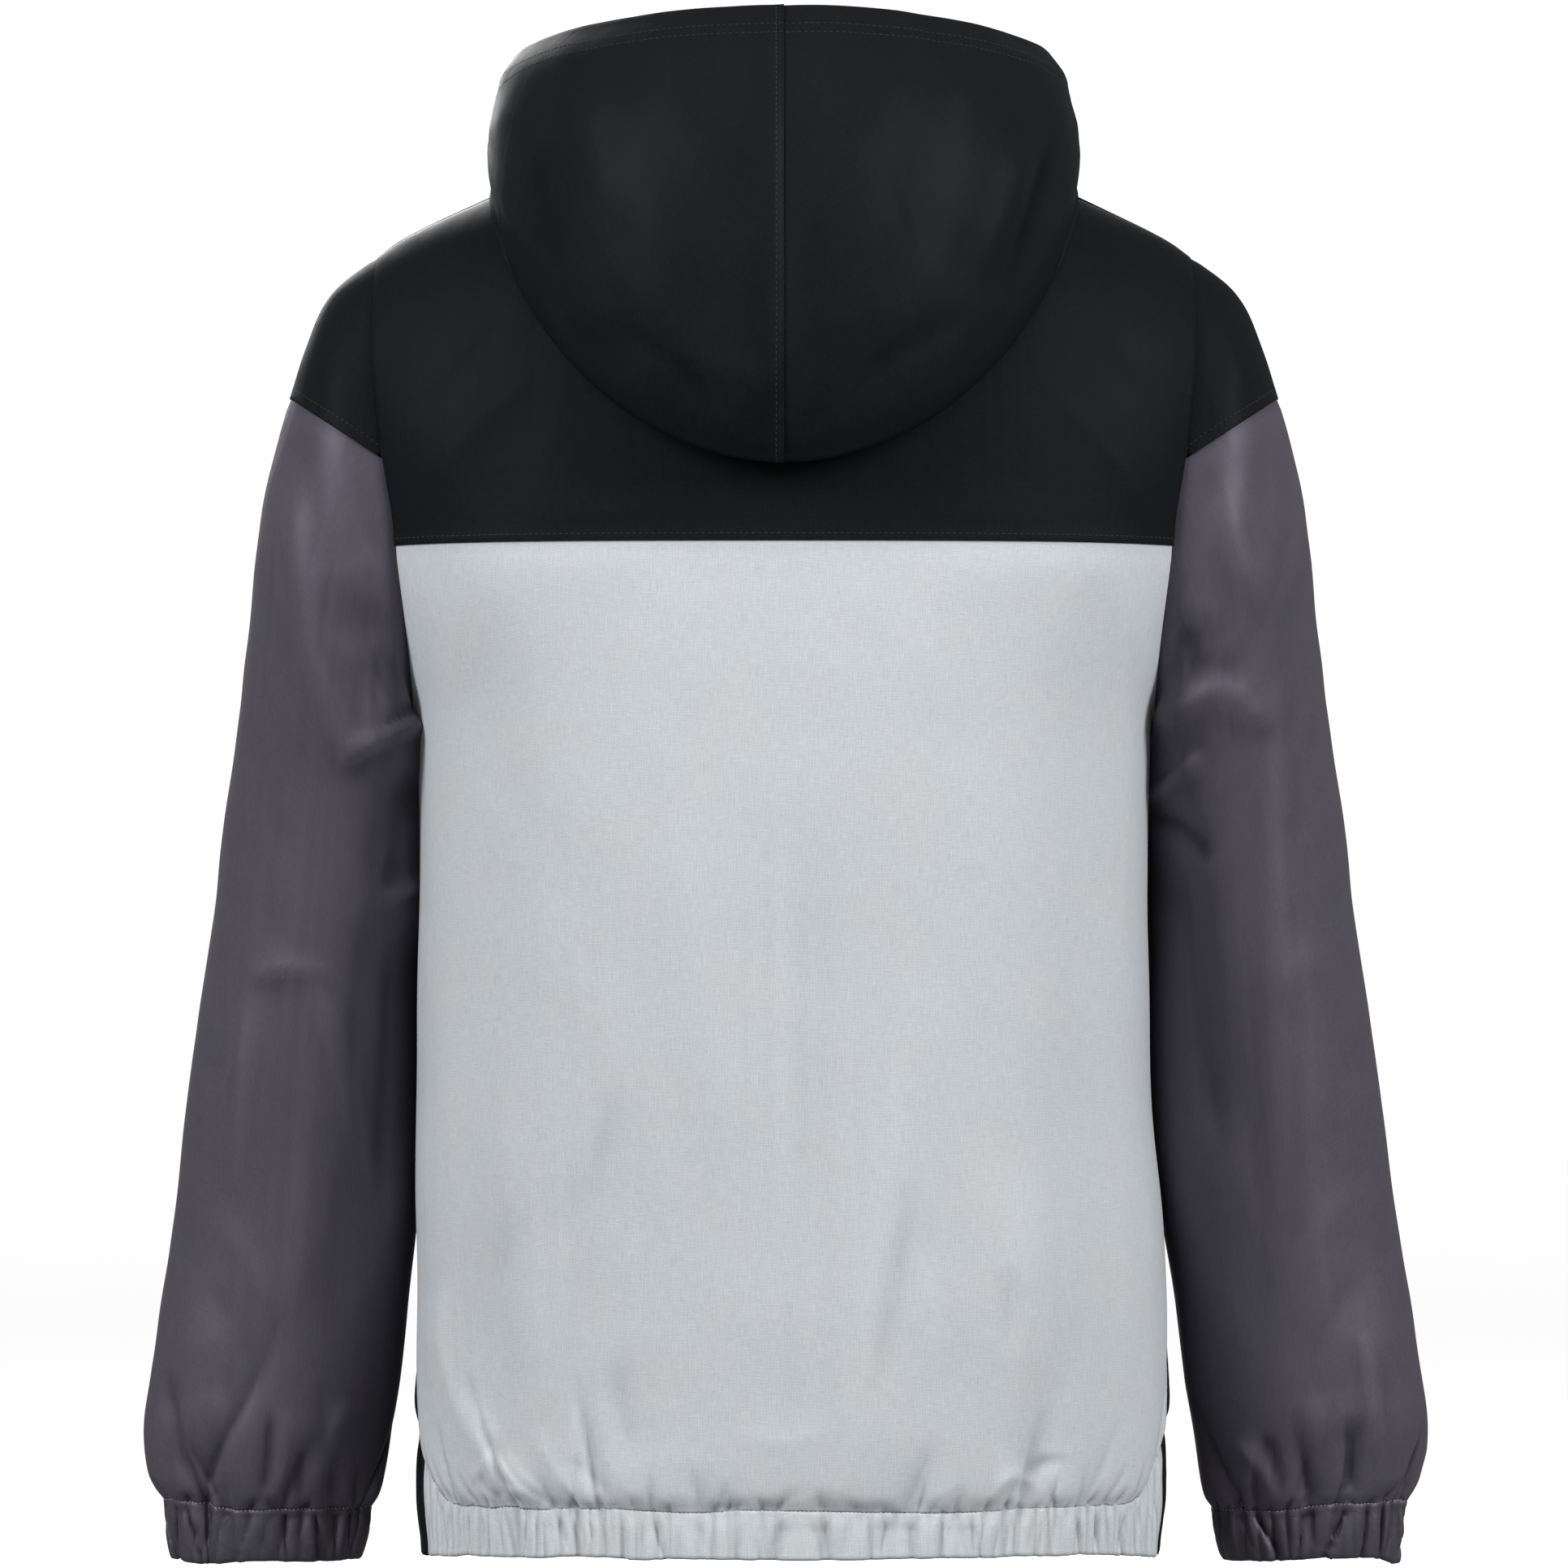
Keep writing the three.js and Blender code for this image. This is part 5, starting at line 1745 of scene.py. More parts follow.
    def laid(self, side: Side, s: Array, z: Array) -> Cloth:
        """A grid of the body's skin, with the corner under the arm eased.

        Args:
            side: back or front.
            s: the columns' places, from -1 to 1.
            z: the rows' heights.

        Returns:
            The cloth.
        """
        points = self.body.point(side, s, z)
        height = (points[..., 2:] - self.body.underarm_z) / self.eased_reach
        weight = np.exp(-height ** 2) * (1 - np.abs(np.broadcast_to(s, z.shape))[..., None] ** 8)
        for _ in range(self.eased_rounds):
            wide = np.concatenate([points[:1], points, points[-1:]])
            points = lerp(points, (wide[:-2] + 2 * points + wide[2:]) / 4, weight)
        points[..., 2] = z
        return Cloth(points, np.array(self.core))

    def flank(self, s: Array, z: Array) -> Array:
        """Lift that flattens the sides a little towards the hem."""
        return -self.slack * self.side_share(s) * smooth(-z, *self.flank_z)

    def columns_of(self, elastic: Elastic, ends: tuple[float, float], count: int, away: float = 4.0) -> Array:
        """Columns of a gathered piece, which crowd in its pleats at a distance from the seam."""
        fine = np.linspace(*ends, 6001) * self.seam_length
        level = np.full_like(fine, away)
        lift = elastic.above(fine, level) if away > 0 else elastic.inside(fine, level, 22.0)
        return paced(fine, lift, count)[None, :] / self.seam_length

    def panel(self) -> None:
        """The pale back panel, whose top lies under the yoke."""
        columns, rows = self.panel_grid
        s = self.columns_of(self.back_elastic, (-1, 1), columns)
        low = self.hem_height(Side.BACK, s)
        z = lerp(low, self.yoke_height(s), spread(rows, 1.5)[:, None])
        along, away = np.broadcast_to(s * self.seam_length, z.shape), z - low
        z = z + self.back_elastic.wander(along, away)
        cloth = self.laid(Side.BACK, s, z)
        under_yoke = smooth(cloth.near(Edge.TOP), 2, 30)
        inner = self.inner(s)
        cloth.raised(dents(self.crumples, along, z) * smooth(away, 0, 60) * under_yoke * inner)
        cloth.creased(self.panel_creases, under_yoke * inner)
        cloth.raised(self.back_elastic.above(along, away) * (1 - 0.6 * smooth(np.abs(s), 0.86, 1.0)))
        cloth.raised(self.flank(s, z) - self.side_step * self.side_share(s) * (1 - smooth(away, 4, 34)))
        cloth.raised(-self.lap * (1 - smooth(cloth.near(Edge.TOP), 0, 8)))
        cloth.refaced().sewn(Edge.BOTTOM, Edge.TOP, Edge.LEFT, Edge.RIGHT)
        line = cloth.line(Edge.BOTTOM, self.hem_line)
        cloth.tucked(Edge.TOP, self.room.tuck, 0.3)
        cloth.tucked(Edge.LEFT, *self.side_tuck).tucked(Edge.RIGHT, *self.side_tuck)
        self.room.finish_cloth(cloth, "back_panel", Finish.PANEL, Cut(0.5, 0.53, 0.25),
                               "back_yoke_cloth", "hem_back_cloth")
        # The hem stitches are coloured near black as painted shade of their needle holes.
        self.room.stitch("hem_back", Finish.GREY_THREAD, line, row=self.hem_stitches)

    def yoke(self) -> None:
        """The black yoke over the shoulder blades."""
        columns, rows = self.yoke_grid
        s = np.linspace(-1, 1, columns + 1)[None, :]
        low, top = self.yoke_height(s), self.body.top_height(Side.BACK, np.abs(s))
        z = lerp(low, top, np.linspace(0, 1, rows + 1)[:, None])
        cloth = self.laid(Side.BACK, s, z)
        along = np.broadcast_to(s * self.seam_length, z.shape)
        over_seam = smooth(cloth.near(Edge.BOTTOM), 2, 26)
        inner = over_seam * self.inner(s)
        cloth.raised(dents(self.crumples, along + 500, z) * 0.8 * inner)
        cloth.creased(self.yoke_creases, inner)
        cloth.raised(self.lap * (1 - smooth(cloth.near(Edge.BOTTOM), 0, 9)))
        cloth.refaced().sewn(Edge.BOTTOM, Edge.LEFT, Edge.RIGHT)
        line = cloth.line(Edge.BOTTOM, self.topstitch)
        cloth.turned(Edge.BOTTOM, 5.0, 0.55)
        cloth.tucked(Edge.LEFT, *self.side_tuck).tucked(Edge.RIGHT, *self.side_tuck)
        self.room.finish_cloth(cloth, "back_yoke", Finish.SHELL, Cut(0.47, 0.27, 0.102), "back_panel_cloth")
        self.room.stitch("yoke", Finish.BLACK_THREAD, line)

    def casing(self, side: Side, s: Array, elastic: Elastic) -> Cloth:
        """A stretch of the hem casing, whose top row is on its seam.

        Args:
            side: back or front.
            s: the columns' places.
            elastic: what gathers it.

        Returns:
            The cloth.
        """
        low, top = self.hem_height(side, s, bottom=True), self.hem_height(side, s)
        z = lerp(low, top, np.linspace(0, 1, self.casing_rows + 1)[:, None])
        along, away = np.broadcast_to(s * self.seam_length, z.shape), z - top
        foot = elastic.wave.field(along * 0.7 + 300, 0 * along) * smooth(-away, 4, 22)
        z = z + elastic.wander(along, away) + foot * 0.6
        cloth = self.laid(side, s, z)
        return cloth.raised(elastic.inside(along, away, (top - low).max()) + self.flank(s, z)).refaced()

    def hem_back(self) -> None:
        """The casing of the back panel."""
        s = self.columns_of(self.back_elastic, (-1, 1), self.casing_columns, -10.0)
        cloth = self.casing(Side.BACK, s, self.back_elastic)
        cloth.raised(-self.side_step * self.side_share(s)).sewn(Edge.TOP, Edge.LEFT, Edge.RIGHT)
        cloth.turned(Edge.BOTTOM, *self.casing_fold)
        cloth.tucked(Edge.TOP, self.room.casing_tuck, self.room.casing_sink)
        cloth.tucked(Edge.LEFT, *self.side_tuck).tucked(Edge.RIGHT, *self.side_tuck)
        self.room.finish_cloth(cloth, "hem_back", Finish.CASING, Cut(0.46, 0.06, 0.0262, "gathered"),
                               "back_panel_cloth")

    def front(self, hand: Hand) -> None:
        """One front with its casing, turned under along the zip.

        Args:
            hand: which front.
        """
        ends, centre, outer = (0, 1), Edge.LEFT, Edge.RIGHT
        if hand is Hand.RIGHT:
            ends, centre, outer = (-1, -NEARLY_ZERO), Edge.RIGHT, Edge.LEFT
        under_side = self.side_tuck[0], self.side_step + self.under_back
        s = self.columns_of(self.front_elastic, ends, self.front_columns)
        low, top = self.hem_height(Side.FRONT, s), self.body.top_height(Side.FRONT, np.abs(s))
        lower, upper = self.front_rows
        below = lerp(low, self.body.underarm_z, spread(lower, 1.0)[:-1, None])
        z = np.concatenate([below, lerp(self.body.underarm_z, top, np.linspace(0, 1, upper + 1)[:, None])])
        along, away = np.broadcast_to(s * self.seam_length, z.shape), z - low
        z = z + self.front_elastic.wander(along, away)
        cloth = self.laid(Side.FRONT, s, z)
        flat = smooth(np.abs(s), *self.beside_zip)
        inner = flat * self.inner(s)
        cloth.raised(dents(self.crumples, along - 300, z) * smooth(away, 0, 60) * inner)
        cloth.creased(self.front_creases, inner)
        cloth.raised(self.front_elastic.above(along, away) * lerp(0.25, 1, flat))
        side_dip = self.side_dip * smooth(np.abs(s), 0.9, 1.0) * smooth(away, 10, 40) * smooth(-z, 300, 340)
        cloth.raised(self.flank(s, z) - side_dip)
        cloth.refaced().sewn(Edge.BOTTOM, centre, outer)
        lines = cloth.line(centre, self.zip_line), cloth.line(Edge.BOTTOM, self.hem_line)
        cloth.turned(centre, self.front_turn, 0.6)
        cloth.tucked(Edge.TOP, self.room.tuck, self.room.sink)
        cloth.tucked(outer, *under_side)
        self.room.finish_cloth(cloth, f"front_{hand.word}", Finish.SHELL, Cut(0.26, 0.76, 0.178),
                               "back_yoke_cloth", f"zip_tape_{hand.word}_cloth")
        band = self.casing(Side.FRONT, s, self.front_elastic)
        band.sewn(Edge.TOP, centre, outer)
        band.turned(Edge.BOTTOM, *self.casing_fold)
        band.tucked(Edge.TOP, self.room.casing_tuck, self.room.casing_sink)
        band.tucked(outer, *under_side)
        self.room.finish_cloth(band, f"hem_front_{hand.word}", Finish.SHELL,
                               Cut(0.28, 0.062, 0.017, "gathered"), f"front_{hand.word}_cloth")
        self.room.stitch(f"front_{hand.word}", Finish.BLACK_THREAD, *lines)

    def build(self) -> None:
        """Makes all the pieces."""
        self.yoke()
        self.hem_back()
        self.panel()
        for hand in Hand:
            self.front(hand)


# ---- the arms' pieces


@dataclass
class Arm:
    """One sleeve with its shoulder cap and its cuff."""

    room: Workroom
    form: ArmForm
    creases: tuple[Crease, ...]
    columns: int = 164
    rows: int = 168
    cap_grid: tuple[int, int] = (70, 40)
    cuff_grid: tuple[int, int] = (220, 20)
    wrist: float = 210.0
    topstitch: float = 5.5
    lap: float = 0.2
    cuff_fold: tuple[float, float] = (22.0, 2.2)
    cap_tuck: tuple[float, float] = (0.1, 0.65)
    cuff_line: float = 0.4
    press: float = 1.6
    press_z: tuple[float, float] = (300.0, 610.0)
    press_turn: tuple[float, float] = (0.2, 0.9)
    seed: int = 40
    cuff_stitches: StitchRow = StitchRow(pitch=2.2, length=1.5, width=0.45)
    crumples: tuple[Crumple, ...] = (
        Crumple(51, 40, 1.5, 2.2, 0.2, fold=0.7),
        Crumple(52, 17, 0.35, 1.5, -0.3),
    )

    @property
    def elastic(self) -> Elastic:
        """The cuff's elastic."""
        seed, ring = self.seed, self.wrist
        return Elastic(
            Blouse(1.4, 14.0, 1.0),
            (Gathers(seed + 1, 6.5, 1.8, 9.0, 0.5, -0.5, 0.3, period=ring),
             Gathers(seed + 2, 14.0, 3.4, 36.0, 0.35, 0.8, 0.2, 0.35, period=ring),
             Gathers(seed + 3, 34.0, 4.6, 80.0, 0.3, 1.2, 0.17, 0.45, period=ring)),
            (Gathers(seed + 4, 4.8, 0.9, 60.0, 0.2, 0.0, 0.3, period=ring, soft=0.3),
             Gathers(seed + 5, 8.5, 3.2, 60.0, 0.3, 0.0, 0.19, 0.3, period=ring, soft=0.3)),
            Crumple(seed + 6, 22.0, 3.0), roll=1.0, draw=0.3,
        )

    def columns_of(self, count: int, away: float) -> Array:
        """Columns round the arm, which crowd in the pleats at a distance from the cuff's seam."""
        fine = np.linspace(-0.5, 0.5, 4001) * self.wrist
        level = np.full_like(fine, away)
        lift = self.elastic.above(fine, level) if away > 0 else self.elastic.inside(fine, level, 28.0)
        return paced(fine, lift, count)[None, :] / self.wrist * 2 * math.pi

    @staticmethod
    def outer_share(turn: Array) -> Array:
        """1 on the outer side of the arm, falling to nothing on the side that faces the body."""
        return 0.5 + 0.5 * np.cos(turn)

    def laid(self, along: Array, turn: Array, ring: bool) -> Cloth:
        """A grid of the arm's skin."""
        skin = self.form.point(along, turn)
        middle = self.form.point(along[:, :1], np.zeros((len(along), 1)))
        inner = self.form.point(along[:, :1], np.full((len(along), 1), math.pi))
        return Cloth(skin, (middle + inner) / 2, ring)

    def cap(self) -> None:
        """The black cap over the shoulder."""
        columns, rows = self.cap_grid
        limit = math.radians(self.form.cap_limit - 0.6)
        turn = np.linspace(-limit, limit, columns + 1)[None, :]
        end = np.maximum(self.form.cap_seam(turn), 0.8)
        along = end * np.linspace(0, 1, rows + 1)[:, None]
        turn = np.broadcast_to(turn, along.shape)
        cloth = self.laid(along, turn, False)
        cloth.raised(dents(self.crumples, 90 * turn, along) * 0.6 * smooth(along, 0, 40))
        cloth.creased(self.creases)
        near, far = cloth.near(Edge.BOTTOM), cloth.near(Edge.TOP)
        cloth.raised(-self.room.sink * np.exp(-(near / 3.5) ** 2) + self.lap * (1 - smooth(far, 0, 9)))
        cloth.refaced().sewn(Edge.BOTTOM, Edge.TOP)
        line = cloth.line(Edge.TOP, self.topstitch)
        cloth.tucked(Edge.BOTTOM, self.room.tuck, self.room.sink)
        word = self.form.hand.word
        self.room.finish_cloth(cloth, f"sleeve_cap_{word}", Finish.SHELL, Cut(0.26, 0.075, 0.0138),
                               f"sleeve_{word}_cloth", "back_yoke_cloth")
        self.room.stitch(f"sleeve_cap_{word}", Finish.BLACK_THREAD, line)

    def sleeve(self) -> None:
        """The sleeve, a tube that is closed under the arm."""
        word, form = self.form.hand.word, self.form
        turn = self.columns_of(self.columns, 4.0)
        start = form.cap_seam(turn)
        share = 1 - spread(self.rows, 1.3)[::-1, None]
        along = lerp(start, form.cuff_seam, share)
        turn = np.broadcast_to(turn, along.shape)
        cloth = self.laid(along, turn, True)
        round_wrist, away = turn / (2 * math.pi) * self.wrist, form.cuff_seam - along
        cloth.grid[..., 2] += self.elastic.wander(round_wrist, away) * np.cos(turn / 2) ** 0.5
        closed = np.cos(turn / 2).clip(0, 1) ** 0.4
        free = smooth(along, 10, 70) * smooth(away, 0, 50)
        cloth.raised(dents(self.crumples, 45 * turn, along) * closed * free)
        cloth.creased(self.creases, smooth(cloth.near(Edge.BOTTOM), 0, 14))
        start, end = self.press_z
        beside_body = smooth(-cloth.z, start, start + 25) * (1 - smooth(-cloth.z, end - 50, end))
        cloth.raised(self.press * beside_body * (1 - smooth(math.pi - np.abs(turn), *self.press_turn)))
        cloth.raised(self.elastic.above(round_wrist, away) + self.elastic.drawn(away, self.outer_share(turn)))
        cloth.raised(-self.room.sink * np.exp(-(cloth.near(Edge.BOTTOM) / 4) ** 2))
        cloth.refaced().sewn(Edge.BOTTOM, Edge.TOP)
        line = cloth.line(Edge.TOP, self.cuff_line)
        cloth.tucked(Edge.BOTTOM, self.room.tuck, *self.cap_tuck)
        self.room.finish_cloth(cloth, f"sleeve_{word}", Finish.SLEEVE, Cut(0.47, 0.66, 0.204),
                               "back_yoke_cloth", f"cuff_{word}_cloth")
        self.room.stitch(f"cuff_{word}", Finish.PALE_THREAD, line, row=self.cuff_stitches)

    def cuff(self) -> None:
        """The gathered band at the wrist, folded up inside."""
        word, form = self.form.hand.word, self.form
        columns, rows = self.cuff_grid
        turn = self.columns_of(columns, -10.0)
        along = lerp(form.cuff_end, form.cuff_seam, np.linspace(0, 1, rows + 1)[:, None])
        turn, along = np.broadcast_arrays(turn, along)
        cloth = self.laid(along, turn, True)
        round_wrist, away = turn / (2 * math.pi) * self.wrist, form.cuff_seam - along
        closed = np.cos(turn / 2).clip(0, 1) ** 0.5
        foot = self.elastic.wave.field(round_wrist + 300, 0 * along) * smooth(-away, 12, 28)
        cloth.grid[..., 2] += (self.elastic.wander(round_wrist, away) + foot) * closed
        height = form.cuff_end - form.cuff_seam
        drawn = self.elastic.drawn(away, self.outer_share(turn))
        cloth.raised(self.elastic.inside(round_wrist, away, height) + drawn).refaced().sewn(Edge.TOP)
        cloth.turned(Edge.BOTTOM, *self.cuff_fold)
        cloth.tucked(Edge.TOP, self.room.casing_tuck, self.room.casing_sink)
        self.room.finish_cloth(cloth, f"cuff_{word}", Finish.CUFF, Cut(0.26, 0.068, 0.0158, "gathered"),
                               f"sleeve_{word}_cloth")

    def build(self) -> None:
        """Makes all the pieces."""
        self.cap()
        self.cuff()
        self.sleeve()


LEFT_ARM_CREASES = folds(
    (258, -160, 256, -268, 6, 1.2),
    (250, -160, 229, -324, 13, 4.6, -7, -0.5, 0.3),
    (222, -226, 206, -304, 17, -6.6, 3, 0, 0.4, 0.6),
    (230, -326, 186, -298, 7, 6.2, 4, 0.3, 0.3),
    (216, -313, 186, -291, 4, -3.6, 3, 0, 0.3),
    (198, -322, 210, -398, 12, -6.4, 3, 0.4, 0.3),
    (214, -398, 186, -384, 5, 4.2, 2, 0.3, 0.3),
    (204, -402, 212, -556, 11, -4.6, 3, 0.3, 0.3),
    (246, -430, 216, -548, 9, 3.4, 2, -0.3, 0.3),
    (228, -330, 240, -520, 18, 2.8, 5),
    (262, -300, 266, -480, 18, -2.2, -4),
    (246, -420, 262, -660, 13, 2.4, 4, 0.3),
    (282, -434, 230, -432, 8, 2.2, 2, 0.5),
    (280, -440, 287, -560, 8, 2.0, 1, 0.3),
    (199, -216, 190, -430, 15, 7.5, 1, 0, 0.25, 0.8),
    (200, -356, 222, -420, 8, 2.0, -4),
    (300, -556, 262, -612, 12, 1.2, 4, 0.3),
    (306, -590, 270, -650, 11, -1.3, 3),
    (268, -660, 274, -712, 5, -3.2, 2, 0.4, 0.3),
    (259, -660, 262, -710, 6, 2.2, 0, 0, 0.3),
    (228, -656, 242, -708, 7, 2.8, -2, 0, 0.3),
    (322, -640, 309, -708, 6, -3.2, -2, -0.3, 0.3),
    (294, -650, 292, -708, 6, 2.0, 1, 0, 0.3),
) + folds(
    (262, -180, 250, -400, 22, 2.4),
    (282, -396, 236, -470, 12, -3.2, 4, 0.4),
    (286, -430, 240, -505, 12, 2.8, 4),
    (292, -360, 240, -428, 10, 2.2, -3),
    (300, -560, 256, -630, 10, 2.0, 3),
    side=Side.FRONT,
)
RIGHT_ARM_CREASES = folds(
    (-222, -176, -250, -250, 12, 4.0, -4, 0.3, 0.4, 0.4),
    (-256, -280, -260, -560, 12, 3.6, -2, 0.5, 0.25),
    (-262, -200, -270, -440, 18, -2.6, -4, 0, 0.4, 0.6),
    (-208, -246, -216, -290, 12, -5.0, -3, 0, 0.4, 0.5),
    (-226, -278, -254, -306, 9, 3.4, -4, 0.3, 0.4, 0.5),
    (-190, -304, -228, -278, 8, 4.6, -3, -0.3, 0.3, 0.5),
    (-188, -346, -216, -318, 5, 5.0, -2, 0, 0.3),
    (-190, -350, -222, -376, 7, -4.4, 2, 0, 0.3),
    (-196, -360, -230, -530, 13, -6.0, -3, 0, 0.25, 0.5),
    (-270, -420, -286, -660, 14, 2.4, -4, 0.3),
    (-236, -470, -250, -640, 12, -2.0, 4),
    (-284, -416, -250, -450, 14, 0.9, -3, 0.4),
    (-196, -240, -190, -330, 10, 2.5, 0, 0, 0.3, 0.8),
    (-298, -540, -262, -600, 12, 1.2, -4),
    (-304, -585, -270, -645, 11, -1.3, -3),
    (-234, -676, -256, -708, 6, 3.0, 2, 0, 0.3),
    (-248, -672, -259, -708, 4, -2.8, 2, 0, 0.3),
    (-302, -620, -308, -694, 4, 2.4, 2, 0, 0.3),
    (-295, -664, -300, -712, 6, -3.6, -2, 0.4, 0.3),
    (-276, -650, -276, -708, 7, 2.2, 0, 0, 0.3),
) + folds(
    (-258, -190, -252, -400, 22, 2.4),
    (-284, -400, -238, -476, 12, -3.2, -4, 0.4),
    (-288, -436, -242, -512, 12, 2.8, -4),
    (-290, -352, -242, -418, 10, 2.2, 3),
    (-302, -566, -258, -640, 10, 2.0, -3),
    side=Side.FRONT,
)


# ---- the hood's pieces


@dataclass
class HoodPair:
    """The two halves of the hood, which lie down over the back as a bag and make the collar in front."""

    room: Workroom
    form: HoodForm
    columns: int = 92
    rows: int = 118
    rim_fold: tuple[float, float] = (27.0, 1.0)
    rim_rows: tuple[float, float] = (17.0, 25.0)
    topstitch: float = 4.0
    zip_line: float = 4.5
    lap: float = 0.5
    under_lap: float = 0.3
    lap_width: float = 8.0
    seam_stiff: float = 14.0
    seam_shows_from: float = 0.42
    bag_from: tuple[float, float] = (0.5, 0.62)
    collar_from: tuple[float, float] = (2.5, 3.0)
    core: tuple[float, float, float] = (0.0, 110.0, -50.0)
    creases: tuple[Crease, ...] = folds(
        (-141, 6, -112, -92, 7, -5.5, 3, 0.3, 0.4, 0.5),
        (-126, 10, -98, -80, 8, 4.0, 3, 0, 0.4, 0.5),
        (128, -10, 112, -84, 10, -1.8, -3),
        (96, 30, 84, -60, 14, 1.4, -4),
        (-60, 20, -50, -90, 16, -1.4, 4),
        (60, -120, -20, -128, 12, 1.4, -5),
        (100, -100, 30, -146, 10, -1.6, 5),
        (-100, -98, -30, -140, 10, -1.6, -5),
    )
    crumples: tuple[Crumple, ...] = (
        Crumple(61, 46, 1.3, 1.3, 0.2, fold=0.5),
        Crumple(62, 18, 0.4, 1.2, -0.2),
    )

    @staticmethod
    def squared(cloth: Cloth) -> Cloth:
        """Keeps the centre seam's normals in the middle plane, so that the halves meet."""
        middle = cloth.normal[:, 0]
        middle[:, 0] = 0
        middle[:] = unit(middle)
        return cloth

    def half(self, hand: Hand) -> None:
        """One half, from the centre seam to the front edge.

        Args:
            hand: which half.
        """
        angle = np.linspace(0, math.pi, self.columns + 1)[None, :]
        v = crowded(np.linspace(0, 1, self.rows + 1), 0.25)[:, None]
        v, angle = np.broadcast_arrays(v, angle)
        skin = self.form.point(v, angle)
        beside_zip = np.maximum(skin[..., 0], self.form.body.front_edge)
        skin[..., 0] = np.where(angle > math.pi / 2, beside_zip, skin[..., 0])
        skin[..., 0] *= hand.value
        cloth, centre = self.squared(Cloth(skin, np.array(self.core))), Edge.LEFT
        free = smooth(v, *self.bag_from)
        away = smooth(cloth.near(centre), 0, self.seam_stiff)
        front = 1 - smooth(angle, *self.collar_from)
        cloth.raised(dents(self.crumples, hand.value * 150 * angle, 420 * v) * free * away * front)
        cloth.creased(self.creases, free * away)
        over = self.lap if hand is Hand.LEFT else -self.under_lap
        cloth.raised(over * (1 - smooth(cloth.near(centre), 0, self.lap_width)))
        self.squared(cloth.refaced()).sewn(centre, Edge.RIGHT)
        lines = [cloth.line(Edge.TOP, distance) for distance in self.rim_rows]
        lines.append(cloth.line(Edge.RIGHT, self.zip_line))
        if hand is Hand.LEFT:
            points, normals = cloth.line(centre, self.topstitch)
            visible = slice(int(self.rows * self.seam_shows_from), None)
            lines.append((points[visible], normals[visible]))
        cloth.turned(Edge.TOP, *self.rim_fold)
        if hand is Hand.RIGHT:
            cloth.tucked(centre, self.room.tuck, self.lap)
        cloth.tucked(Edge.BOTTOM, self.room.tuck, self.room.sink)
        self.room.finish_cloth(cloth, f"hood_{hand.word}", Finish.HOOD, Cut(0.36, 0.44, 0.112, "draped"),
                               "back_yoke_cloth")
        self.room.stitch(f"hood_{hand.word}", Finish.BLACK_THREAD, *lines)

    def build(self) -> None:
        """Makes both halves."""
        for hand in Hand:
            self.half(hand)


# ---- the zip


